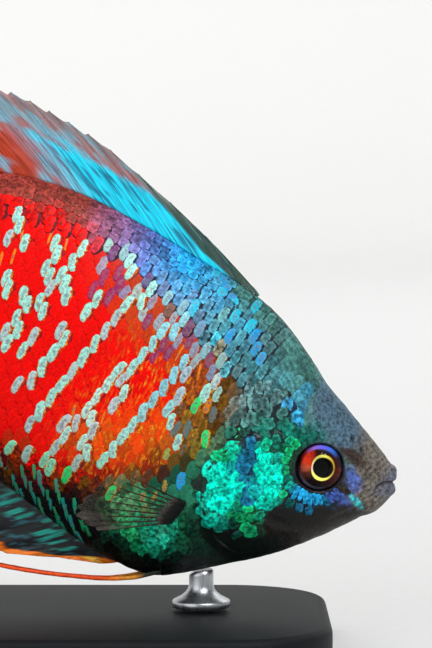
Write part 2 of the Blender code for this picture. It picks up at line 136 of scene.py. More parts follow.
PECTORAL_LENGTH = [(0, 6.2), (0.25, 7.3), (0.5, 8.1), (0.75, 8.3), (1, 6.0)]
PECTORAL_SPLAY_DEG = 13.0
PECTORAL_OFF_SKIN = 0.5
FEELER_ROOT = (18.3, 1.15)
FEELER_SPREAD = 1.9
FEELER_RIGHT = [(20.6, -17), (24.4, -18.1), (29.8, -19.2), (38, -19.9), (46, -19.7), (54, -18.6)]
FEELER_LEFT = [(20.6, -17.2), (24.4, -18.45), (29.8, -19.6), (38, -20.35), (46, -20.15), (53, -19.2)]

# The chains of aqua scales on the flank, each a line of (u, v) places from its top down
AQUA_CHAINS = (
    [(26.1, 8.4), (27.9, 5.4), (29.4, 2.2), (30.6, -1.6), (31.8, -4.8), (32.2, -7.4)],
    [(22.1, 7.7), (23.6, 5.3), (24.7, 2.6), (25.4, -0.4), (26.1, -2.6)],
    [(26.5, 0.6), (27.5, -1.6), (28.1, -4.7)],
    [(28.9, -4.6), (29.4, -7.4)],
    [(21.1, 3.7), (22.2, 1.1), (23.5, -2.4), (24.6, -5.2), (25.4, -7.8)],
    [(26.8, -3.9), (26.9, -7.8)],
    [(33.3, 6.0), (32.3, 3.4), (32.0, 0.6), (32.9, -2.0), (34.8, -4.3)],
    [(30.1, 6.2), (30.9, 5.2), (30.9, 3.8)],
    [(35.5, 9.4), (35.1, 7.4), (34.6, 5.9)],
    [(32.4, 10.5), (33.5, 8.8), (34.3, 6.2)],
    [(38.1, 8.3), (37.0, 6.3)],
    [(38.5, 6.1), (38.0, 4.4)],
    [(39.3, 10.8), (39.6, 8.2)],
    [(36.0, 4.3), (36.2, 1.6), (36.6, -0.2)],
    [(34.7, 4.1), (34.2, 2.0), (35.2, -0.6)],
    [(20.6, 2.9), (20.6, 0.6), (20.9, -1.8)],
    [(19.3, -2.6), (19.2, -4.2)],
    [(33.1, -9.4), (31.5, -8.9)],
    [(29.6, -8.2), (29.0, -9.7)],
    [(29.0, 10.0), (28.2, 9.3)],
    [(18.0, 2.8), (18.5, 0.9)],
)
REAR_BAR_START = 41.0
REAR_BAR_STEP = 3.5
REAR_BAR_LEAN = 0.38
BLUE_DOTS = ((17.4, -7.7), (18.0, -6.3))
GREEN_DOTS = ((17.2, -2.0), (21.0, -7.7), (22.9, -9.6), (29.6, -11.2), (18.7, 0.1), (27.5, -10.0))

# The palest of the chains' scales, and the green scrub behind the gill cover: ovals of the flank
PALE_CLUSTER = ((27.2, -3.6), (2.6, 3.6))
SCRUB_PATCH = ((18.0, 0.4), (2.7, 6.0), 16, 0.2)

# Where the red ends above the dark belly: (station, height)
RED_LOWER_EDGE = [
    (15.5, -3.0), (18.6, -4.3), (19.8, -7.2), (23.0, -9.2), (27.8, -11.4), (32.3, -12.2), (38, -10.2),
    (46, -8.2), (54, -6.6), (65, -5.6),
]

# The stand
BASE_CORNER = 9.0
BASE_EDGE = 0.7
ROD_RADIUS = 1.1
ROD_FOOT_RADIUS = 2.6
ROD_FOOT_HEIGHT = 1.2
GAP = 0.3

# How the coat is laid: where its scales start, how far apart they stand, where the shoulder's blue ends
# (a place and a slope), the depths of the rows of pebbles under the back's edge, and how far back a
# column of the flank has run a millimetre further down
SCALES_START = 9.6
COLUMN_PITCH = 0.78
ROW_PITCH = 1.65
SHOULDER_LINE = ((16.3, 3.3), 0.52)
BACK_BAND_ROWS = (0.35, 0.95, 1.6, 2.35, 3.2)
ROW_LEAN = 0.33
# Where the head ends, in mm, and the share of the skin's triangles kept once it is thinned behind there
HEAD_END = 19.5
SKIN_KEPT = 0.66
# The part of a plate that shows behind its neighbours, on the plate's own map: centre, half length
# and half height
FLANK_WINDOW = (0.668, 0.275, 0.42)
PEBBLE_WINDOW = (0.646, 0.30, 0.36)
HEAD_WINDOW = (0.64, 0.31, 0.43)
RING_WINDOW = (0.5, 0.44, 0.43)
# The length, in mm, that the coat's bake map unrolls, and the size of one scale's patch on that map
UNWRAP_LENGTH = 68.0
BAKE_PATCH = 0.003

# The camera repeats the photograph's view: 11.2 pixels to a millimetre at the fish, 260 mm away
CAMERA_TARGET = (20.84, 0.0, 29.75)
CAMERA_DISTANCE = 260.0
CAMERA_ELEVATION_DEG = 3.0
PIXELS_PER_MM = 11.2
PICTURE_HEIGHT = 648
SENSOR = 36.0


def linear(code):
    """An sRGB hex colour as linear light."""
    channels = np.array([int(code[i : i + 2], 16) for i in (1, 3, 5)]) / 255
    dark, light = channels / 12.92, ((channels + 0.055) / 1.055) ** 2.4
    return tuple(float(x) for x in np.where(channels <= 0.04045, dark, light))


# Colours of small marks, of painted shadows and of painted highlights, beside the colours that are settings
OLIVE_GOLD = linear("#7C6C27")
RUSTY_RED = linear("#AD4516")
JAW_CYAN = linear("#19CBDA")
VALLEY_BLUE = linear("#166995")
BREAST_GREEN = linear("#27F3CB")
DULL_GREEN = linear("#61A66F")
SOCKET_SHADE = linear("#19161D")
MOUTH_SHADE = linear("#211621")
FOLD_SHADE = linear("#302721")
WRINKLE_HIGHLIGHT = linear("#867E76")
NOSTRIL_SHADE = linear("#211D19")
MAUVE = linear("#BCADBF")
YOLK = linear("#F3BC30")
DUSTY_TEAL = linear("#458B95")
DUSTY_BLUE = linear("#79849E")
RUSTY_BROWN = linear("#866C3F")
WARM_GREY = linear("#735D55")
FLAME_ORANGE = linear("#CE610D")
FLAME_YELLOW = linear("#E7AD27")
OUTLINE_BLACK = linear("#1D141F")
SPECKLE_GREY = linear("#797381")
PUPIL_BLACK = linear("#030303")
FIN_FRONT = linear("#0D3F45")
FIN_FRONT_RAYS = linear("#597C73")
FIN_SPECKLE = linear("#276F7C")
FIN_FOOT_GREEN = linear("#10A695")
SIDE_FIN_ROOT = linear("#0D0D10")
FEELER_ROOT_BLACK = linear("#273027")
LAMP_WHITE = linear("#F7F9FF")


def tone(name, code, description):
    """A colour setting."""
    return FloatVectorProperty(
        name=name, description=description, default=linear(code), min=0.0, max=1.0, size=3, subtype="COLOR"
    )


def length(name, millimetres, description):
    """A size setting, in metres."""
    return FloatProperty(name=name, description=description, default=millimetres * MM, min=0.0,
                         unit="LENGTH", precision=6)


class GouramiSkin(bpy.types.PropertyGroup):
    """Colours and sizes of the skin, which the scales share"""

    grain: length("Skin grain", 0.17, "Size of the smallest facets of the skin")
    coat: length("Coat depth", 0.12, "How far the skin lies inside the solids, for the scales over it")
    red: tone("Flank red", "#F00400", "Ground colour of the flank")
    orange: tone("Low flank orange", "#F0580A", "Glow on the lower flank")
    maroon: tone("Maroon", "#5E1208", "Where the red darkens above the belly")
    belly: tone("Belly", "#0B1614", "Black-green underside")
    brown: tone("Brown behind the gill", "#6A440C", "Olive-brown patch behind the gill cover")
    sky: tone("Shoulder blue", "#1EA8F0", "Bright blue of the shoulder")
    violet: tone("Shoulder violet", "#5870B8", "Blue-violet further back")
    pink: tone("Shoulder pink", "#8C5E88", "Purple-pink where the blue meets the red")
    rust: tone("Back band", "#8E3A30", "Rust-purple scales along the base of the back fin")
    nape: tone("Nape", "#478078", "Olive-green of the nape")
    slate: tone("Lower nape", "#547A7C", "Grey-teal scales above the gill cover")
    brow: tone("Forehead", "#3F5A6C", "Blue-grey forehead")
    snout: tone("Snout", "#5C564E", "Grey-brown snout")
    umber: tone("Brow patch", "#2C1608", "Brown patch in front of the eye")
    indigo: tone("Eye front patch", "#4060B4", "Blue patch in front of the eye")
    jaw: tone("Lower head", "#191510", "Brown-black cheek and chin")
    cheek: tone("Cheek", "#0E6A5A", "Dark teal cheek")
    turquoise: tone("Gill cover", "#00E8C8", "Glossy turquoise of the gill cover")
    emerald: tone("Emerald", "#10B46C", "Green patches of the gill cover and breast")
    moss: tone("Behind the gill", "#2C8464", "Green-teal skin at the root of the side fin")
    lagoon: tone("Under the eye", "#1E9CD4", "Blue scales under the eye")
    lip: tone("Lips", "#50586C", "Violet-grey lips")


class GouramiScales(bpy.types.PropertyGroup):
    """Sizes and marks of the scales"""

    column: length("Column pitch", COLUMN_PITCH, "Distance between columns of scales on the flank")
    row: length("Row pitch", ROW_PITCH, "Distance between scales in a column")
    lift: length("Lift", 0.13, "Height of a scale's free edge over the skin")
    variation: FloatProperty(name="Variation", description="Share by which sizes vary", default=0.08,
                             min=0.0, max=0.5)
    seed: IntProperty(name="Seed", description="Seed of every random draw", default=7, min=0)
    aqua: tone("Aqua", "#A4E6D6", "Pale aqua of the marked scales")
    milk: tone("Milky aqua", "#D2F0E0", "Palest marked scales")
    amber: tone("Amber", "#F08A10", "Orange scales at the ends of the chains")
    magenta: tone("Magenta", "#8E2E8E", "Speckled purple scales between the chains")
    # The cyan flash is a painted glint on some shoulder scales, and also a hue that others lean towards
    flash: tone("Cyan flash", "#14D4F4", "Brightest scales of the shoulder")
    leaf: tone("Leaf green", "#22E070", "Single green scales")


class GouramiFins(bpy.types.PropertyGroup):
    """Colours and sizes of the fins and feelers"""

    ray: length("Ray radius", 0.17, "Radius of a fin ray at its root")
    web: length("Web thickness", 0.11, "Thickness of the web between rays")
    cyan: tone("Fin base cyan", "#00D2F2", "Bright base of the back fin")
    ink: tone("Fin streaks", "#0A2E66", "Dark blue streaks along the rays")
    olive: tone("Outer back fin", "#264A3E", "Dark olive web of the back fin")
    ember: tone("Fin red", "#C23A14", "Red-orange of the soft fins")
    midnight: tone("Belly fin", "#0F1824", "Blue-black web of the belly fin")
    margin: tone("Belly fin edge", "#F27A0C", "Orange edge of the belly fin")
    gold: tone("Edge patches", "#F6C040", "Yellow patches on that edge")
    smoke: tone("Side fin web", "#8E8478", "Nearly clear web of the side fins")
    feeler: length("Feeler radius", 0.19, "Radius of a feeler at its root")
    wine: tone("Side fin rays", "#280C08", "Dark maroon rays of the side fins")
    coral: tone("Feelers", "#F0501C", "Red-orange of the feelers")
    honey: tone("Feeler root", "#E8B83C", "Yellow root of the feelers")


class GouramiStudio(bpy.types.PropertyGroup):
    """Stand finishes, floor and lamps"""

    lacquer: tone("Base", "#15171A", "Black lacquer of the stand's base")
    steel: tone("Rod", "#B9BCC0", "Brushed steel of the rod")
    paper: tone("Floor", "#E4E4E2", "Pale floor")
    key: FloatProperty(name="Key lamp", description="Strength of the broad key light", default=2.3, min=0.0)
    fill: FloatProperty(name="Fill lamp", description="Power of the fill lamp", default=2.0, min=0.0,
                        unit="POWER")


def smooth(points):
    """A smooth curve through (station, value) pairs, as a function of an array of stations."""
    stations, values = np.array(points, float).T
    slopes = np.gradient(values, stations)

    def value(at):
        at = np.asarray(at, float)
        i = np.clip(np.searchsorted(stations, at) - 1, 0, len(stations) - 2)
        step = stations[i + 1] - stations[i]
        t = np.clip((at - stations[i]) / step, 0.0, 1.0)
        return (
            (1 + 2 * t) * (1 - t) ** 2 * values[i]
            + t * (1 - t) ** 2 * step * slopes[i]
            + t * t * (3 - 2 * t) * values[i + 1]
            + t * t * (t - 1) * step * slopes[i + 1]
        )

    return value


back, belly = smooth(BACK), smooth(BELLY)
widest_line, half_width = smooth(WIDEST_LINE), smooth(HALF_WIDTH)
COS, SIN = math.cos(math.radians(HEAD_DOWN_DEG)), math.sin(math.radians(HEAD_DOWN_DEG))


def swing(u):
    """How far the body has swung to its left at a station, as the tail curves."""
    share = np.maximum(u - TAIL_SWING_START, 0) / (BODY_LENGTH + TAIL_FIN_LENGTH - TAIL_SWING_START)
    return TAIL_SWING * share**2


def turned(vectors):
    """Directions of the fish's frame, in the model's frame."""
    x, y, z = np.moveaxis(np.asarray(vectors, float), -1, 0)
    return np.stack([z * SIN - x * COS, y, x * SIN + z * COS], -1)


def placed(points):
    """Points of the fish's frame, in the model's frame, in metres."""
    return (turned(points) + (SNOUT_X, 0, SNOUT_HEIGHT)) * MM


def fish_frame(points):
    """Points of the model's frame as stations, distances from the body's bent middle, and heights."""
    x, y, z = np.moveaxis(np.asarray(points, float) / MM - (SNOUT_X, 0, SNOUT_HEIGHT), -1, 0)
    u = z * SIN - x * COS
    return u, y - swing(u), x * SIN + z * COS


def surface(u, turn):
    """Points of the body's surface. The turn is 0 on the back, a quarter circle on the left flank."""
    u, turn = np.broadcast_arrays(np.asarray(u, float), np.asarray(turn, float))
    middle, rise, out = widest_line(u), np.cos(turn), np.sin(turn)
    edge = np.where(rise > 0, back(u), belly(u))
    keel = np.where(rise > 0, BACK_KEEL, BELLY_KEEL)
    aside = np.sign(out) * np.abs(out) ** keel * half_width(u)
    return np.stack([u, swing(u) + aside, middle + (edge - middle) * np.abs(rise)], -1)


def unit(vectors):
    """Vectors brought to a length of one."""
    return vectors / np.maximum(np.linalg.norm(vectors, axis=-1, keepdims=True), 1e-9)


def outward(u, turn):
    """The body's outward direction and its direction towards the tail, at points of its surface."""
    along = surface(u + 0.05, turn) - surface(u - 0.05, turn)
    normal = unit(np.cross(along, surface(u, turn + 0.02) - surface(u, turn - 0.02)))
    return normal, unit(along)


def turn_at(u, v):
    """The turn, on the left side, at which the surface of a station has a height."""
    middle = widest_line(u)
    edge = np.where(v > middle, back(u), belly(u))
    share = np.clip(np.abs(v - middle) / np.abs(edge - middle), 0, 1)
    return np.where(v > middle, np.arccos(share), math.pi - np.arccos(share))


def flank(u, v):
    """The body's half width at a station and a height."""
    return surface(u, turn_at(u, v))[..., 1] - swing(u)


def underside(u, y):
    """The height of the body's lower surface at a station and a distance from its middle."""
    share = min(abs(y) / half_width(u), 1.0) ** (1 / BELLY_KEEL)
    return widest_line(u) + (belly(u) - widest_line(u)) * math.sqrt(1 - share * share)


def ramp(value, start, end):
    """0 up to the start, 1 from the end on, and smooth between them."""
    t = np.clip((value - start) / (end - start), 0, 1)
    return t * t * (3 - 2 * t)


def clouds(x, y, size, seed):
    """Smooth random values from -1 to 1 that change over a size."""
    table = np.random.default_rng(seed).uniform(-1, 1, (128, 128))
    x, y = np.asarray(x) / size + 512, np.asarray(y) / size + 512
    i, j = np.floor(x).astype(int), np.floor(y).astype(int)
    s, t = ramp(x - i, 0, 1), ramp(y - j, 0, 1)
    i, j, k, m = i % 128, j % 128, (i + 1) % 128, (j + 1) % 128
    low, high = table[i, j] * (1 - s) + table[k, j] * s, table[i, m] * (1 - s) + table[k, m] * s
    return low * (1 - t) + high * t


def oval(u, v, centre, reach, lean=0.0, soft=0.3):
    """1 inside an oval of the flank, 0 outside it. A lean tips its top towards the tail, in degrees."""
    cos, sin = math.cos(math.radians(lean)), math.sin(math.radians(lean))
    du, dv = u - centre[0], v - centre[1]
    away = np.hypot((du * cos - dv * sin) / reach[0], (du * sin + dv * cos) / reach[1])
    return ramp(away, 1 + soft, 1 - soft)


def off_path(u, v, path):
    """Distance from points to a line through places, and how far along it, from 0 to 1, the nearest is."""
    nearest, share = np.full(np.shape(u), 1e9), np.zeros(np.shape(u))
    for k, ((u0, v0), (u1, v1)) in enumerate(zip(path, path[1:])):
        t = np.clip(((u - u0) * (u1 - u0) + (v - v0) * (v1 - v0)) / ((u1 - u0) ** 2 + (v1 - v0) ** 2), 0, 1)
        away = np.hypot(u - u0 - t * (u1 - u0), v - v0 - t * (v1 - v0))
        share = np.where(away < nearest, (k + t) / (len(path) - 1), share)
        nearest = np.minimum(away, nearest)
    return nearest, share


def mix(colours, other, amount):
    """Colours moved towards another by an amount."""
    amount = np.asarray(amount)[..., None]
    return colours * (1 - amount) + np.asarray(other, float) * amount


def filled(shape, colour):
    """An array of places of that shape that all have one colour."""
    return np.ones((*shape, 3)) * np.asarray(colour, float)


def patched(made, u, v, patches):
    """Colours with ovals laid over them in turn: (colour, strength, centre, reach, lean, softness)."""
    for colour, strength, *form in patches:
        made = mix(made, colour, strength * oval(u, v, *form))
    return made


def from_eye(u, v):
    """Distance from the middle of the eye."""
    return np.hypot(u - EYE_PLACE[0], v - EYE_PLACE[1])


def above_shoulder_line(u, v):
    """How far a place lies above the line where the shoulder's blue ends, in mm."""
    (u0, v0), slope = SHOULDER_LINE
    return (v - v0 - slope * (u - u0)) / math.hypot(1, slope)


def ground_colour(u, v):
    """The colour of the body at places of its flank, before the marks of single scales."""
    c = bpy.context.scene.gourami_skin
    back_depth = back(u) - v
    wu = u + 0.5 * clouds(u, v, 1.8, 1) + 0.2 * clouds(u, v, 0.6, 3)
    wv = v + 0.5 * clouds(u, v, 1.8, 2) + 0.2 * clouds(u, v, 0.6, 4)
    above_belly = wv - np.interp(u, *zip(*RED_LOWER_EDGE))
    made = filled(np.shape(u), c.red)
    made = patched(made, wu, wv, (
        (c.orange, 0.6, (21.5, -4.5), (4.0, 3.4), 0, 0.5),
        (c.orange, 0.7, (27.0, -5.4), (2.4, 1.9), 0, 0.5),
    ))
    made = mix(made, c.maroon, ramp(above_belly, 3.8, 0.8))
    browned = ramp(above_belly, 6.4, 2.4) * ramp(clouds(u, v, 0.9, 9), -0.1, 0.5) * ramp(u, 40, 30)
    made = mix(made, c.brown, 0.8 * browned)
    made = patched(made, wu, wv, (
        (c.brown, 0.95, (18.0, 0.2), (2.6, 5.8), 16, 0.4),
        (OLIVE_GOLD, 0.75, (18.1, -3.4), (1.6, 3.2), 10, 0.6),
    ))
    made = mix(made, c.brown, ramp(u, 18.8, 17.8) * ramp(v, -2.0, -0.5))
    made = mix(made, c.belly, ramp(above_belly, 0.8, -0.8))
    made = mix(made, c.moss, 0.8 * ramp(wu + 0.5 * wv, 16.2, 14.6) * ramp(above_belly, -6.5, -4.0))
    made = mix(made, c.slate, 0.8 * ramp(wu, 16.4, 15.2) * ramp(wv, -2.0, 0.5))
    steel = tuple(0.5 * a + 0.5 * b for a, b in zip(c.slate, c.lagoon))
    shades = (c.slate, steel, steel, c.sky, c.violet, c.pink, c.rust, c.rust)
    stops = (15.0, 17.6, 20.6, 24.0, 27.5, 30.5, 34.0, 40.0)
    shoulder = np.stack([np.interp(u, stops, [shade[i] for shade in shades]) for i in range(3)], -1)
    deep = ramp(back_depth + 0.7 * clouds(u, v, 1.5, 8), 3.5, 7.0)
    shoulder = mix(shoulder, c.pink, 0.3 * deep * ramp(u, 18, 22))
    under = above_shoulder_line(u, v) + 0.45 * clouds(u, v, 0.8, 10)
    made = mix(made, RUSTY_RED, 0.75 * ramp(under, -5.2, -2.4) * ramp(u, 33, 26) * ramp(u, 17.6, 19.0))
    blue = ramp(under, -0.1, 0.2) * ramp(back_depth, 15, 12)
    band = ramp(back_depth + 0.6 * clouds(u, v, 1.2, 5) + ramp(u, 30, 36), 3.9, 2.9) * ramp(u, 24, 30)
    made = mix(made, shoulder, np.maximum(blue, 0.95 * band))
    return head_colour(made, c, u, v, wu, wv, back_depth)


def head_colour(made, c, u, v, wu, wv, back_depth):
    """The head's colours laid over the body's."""
    made = mix(made, c.nape, 0.95 * ramp(back_depth, 2.8, 1.0) * ramp(u, 20.3, 18.6))
    made = mix(made, c.slate, ramp(wu, 15.0, 13.0) * ramp(wv, 0.0, 1.5))
    made = mix(made, c.nape, 0.8 * ramp(wu, 14.5, 12.0) * ramp(back_depth, 6.0, 3.0))
    made = mix(made, c.brow, ramp(wu, 10.5, 8.5) * ramp(wv, -0.6, 0.8))
    made = mix(made, c.cheek, oval(wu, wv, (10.4, -3.4), (4.9, 5.6), 0, 0.25))
    made = mix(made, c.jaw, ramp(wu, 10.9, 9.6) * ramp(wv - 0.18 * (6 - u), -4.9, -5.7))
    made = mix(made, c.belly, ramp(wv + 0.55 * (u - 12), -9.2, -10.6) * ramp(u, 19, 15))
    made = mix(made, c.jaw, ramp(wu, 8.6, 7.2) * ramp(wv, -0.4, -1.6))
    made = mix(made, c.snout, ramp(wu, 5.4, 3.0) * ramp(wv, -4.4, -3.2))
    made = patched(made, wu, wv, (
        (c.umber, 0.95, (4.3, 0.45), (1.7, 0.75), -14, 0.5),
        (c.indigo, 0.85, (3.75, -1.85), (0.7, 1.15), 12, 0.5),
        (c.indigo, 0.7, (4.8, -3.5), (1.5, 0.5), -20, 0.4),
        (c.lagoon, 1.0, (7.1, -4.3), (2.2, 0.6), -4, 0.4),
        (c.turquoise, 1.0, (14.2, -5.2), (1.7, 3.6), 12, 0.25),
        (c.turquoise, 1.0, (10.9, -3.6), (1.2, 2.8), 16, 0.25),
        (VALLEY_BLUE, 0.9, (12.6, -3.4), (0.85, 2.9), 16, 0.4),
        (c.emerald, 1.0, (11.3, -7.4), (1.1, 1.5), 26, 0.3),
        (c.emerald, 0.9, (15.0, -3.0), (1.0, 0.7), 0, 0.3),
        (c.emerald, 0.85, (9.4, -1.2), (0.8, 1.3), 20, 0.3),
    ))
    made = mix(made, JAW_CYAN, 0.95 * oval(u, v, (2.8, -3.1), (0.9, 0.32), -32, 0.3))
    breast = 0.75 + ramp(clouds(u, v, 0.9, 12), -0.5, 0.5)
    breast = breast * oval(wu, wv, (19.3, -11.0), (2.5, 2.1), -10, 0.7)
    made = mix(made, c.emerald, np.clip(breast, 0, 1))
    leafy = ramp(clouds(u, v, 0.7, 13), -0.4, 0.4)
    made = patched(made, wu, wv, (
        (BREAST_GREEN, 0.95, (18.1, -11.5), (1.4, 1.5), 0, 0.8),
        (c.moss, 0.3, (17.5, -9.9), (4.6, 2.6), -10, 0.6),
        (DULL_GREEN, 0.95 * leafy, (21.2, -10.2), (2.7, 1.7), -14, 0.6),
        (c.sky, 0.5, (10.2, 3.7), (0.45, 0.8), 15, 0.4),
        (c.sky, 0.5, (10.9, 2.4), (0.45, 0.8), 15, 0.4),
    ))
    lips = ramp(u + 0.3 * (v + 0.5), 2.0, 0.6) * ramp(np.abs(v + 0.5), 1.8, 1.2)
    return mix(made, c.lip, 0.7 * lips)


def aqua_chains():
    """The chains that the photograph shows, and like ones on the hidden rear of the body."""
    chains = list(AQUA_CHAINS)
    for k in range(9):
        u0 = REAR_BAR_START + REAR_BAR_STEP * k
        for first, end in ((0.74, 0.12), (0.02, -0.66)):
            path = []
            for share in np.linspace(first, end, 5):
                v = float(share * (back(u0) if share > 0 else -belly(u0)))
                u = u0 - REAR_BAR_LEAN * v + 0.5 * math.sin(9.0 * share + k)
                if 37.9 + 0.364 * v < u < BODY_LENGTH - 1:
                    path.append((u, v))
            if len(path) > 1:
                chains.append(path)
    return chains


def gill_oval(u, v):
    """Distance from the gill cover's middle, as a share of its reach."""
    return np.hypot((u - GILL_CENTRE[0]) / GILL_REACH[0], (v - GILL_CENTRE[1]) / GILL_REACH[1])


def coated(u, v):
    """1 where scales cover the skin, 0 on the bare front of the head."""
    covered = np.maximum(ramp(u, SCALES_START, 12.0), oval(u, v, (8.6, -3.2), (4.4, 4.2), 0, 0.1))
    return covered * ramp(v - belly(u), 0.2, 0.8)


def wire(tree, made, inputs):
    """Sets or links a node's inputs, by key or in order. A node stands for its first output in use."""
    for key, value in inputs.items() if isinstance(inputs, dict) else enumerate(inputs):
        if isinstance(value, bpy.types.Node):
            value = next(socket for socket in value.outputs if socket.enabled)
        if isinstance(value, bpy.types.NodeSocket):
            tree.links.new(value, made.inputs[key])
        else:
            made.inputs[key].default_value = value


def node(tree, kind, inputs=(), stops=(), **settings):
    """Adds a node, sets its properties, sets or links its inputs, and fills its colour ramp. A kind of
    shader node goes by its name without "ShaderNode"."""
    made = tree.nodes.new(kind if "Node" in kind else "ShaderNode" + kind)
    for name, value in settings.items():
        setattr(made, name, value)
    wire(tree, made, inputs)
    for k, (place, shade) in enumerate(stops):
        points = made.color_ramp.elements
        point = points[k] if k < len(points) else points.new(place)
        point.position, point.color = place, (*linear(shade), 1.0)
    return made


def finish_of(name, roughness, ior=1.45, metallic=0.0, coat=0.0, specular=0.5):
    """A new material of that name with its Principled shader, both ready to be given detail."""
    material = bpy.data.materials.new(name)
    material.use_nodes = True
    tree = material.node_tree
    shader = tree.nodes["Principled BSDF"]
    wire(tree, shader, {
        "Roughness": roughness, "IOR": ior, "Metallic": metallic, "Specular IOR Level": specular,
        "Coat Weight": coat, "Coat Roughness": 0.12,
    })
    return material, tree, shader


def uneven(tree, colour, noise, *spread):
    """A colour made darker and lighter by a noise, whose low and high become the least and most light."""
    light = node(tree, "MapRange", [noise, *spread])
    return node(tree, "Mix", {0: 1.0, 6: colour, 7: light}, data_type="RGBA", blend_type="MULTIPLY")


def wet_skin():
    """Bare fish skin: soft, pigmented and wet, with fine pores. It looks satin with a thin wet gloss."""
    material, tree, shader = finish_of("wet_fish_skin", 0.48, 1.4, coat=0.1, specular=0.35)
    place = node(tree, "TexCoord").outputs["Object"]
    tint = node(tree, "Attribute", attribute_name="tint")
    freckles = node(tree, "TexNoise", {"Vector": place, "Scale": 3200.0, "Detail": 4.0, "Roughness": 0.7})
    shaded = uneven(tree, tint, freckles, 0.36, 0.64, 0.3, 1.7)
    pores = node(tree, "TexVoronoi", {"Vector": place, "Scale": 4200.0, "Randomness": 1.0})
    bump = node(tree, "Bump", {"Height": pores, "Strength": 0.4, "Distance": 0.00008})
    wire(tree, shader, {"Base Color": shaded, "Normal": bump})
    return material


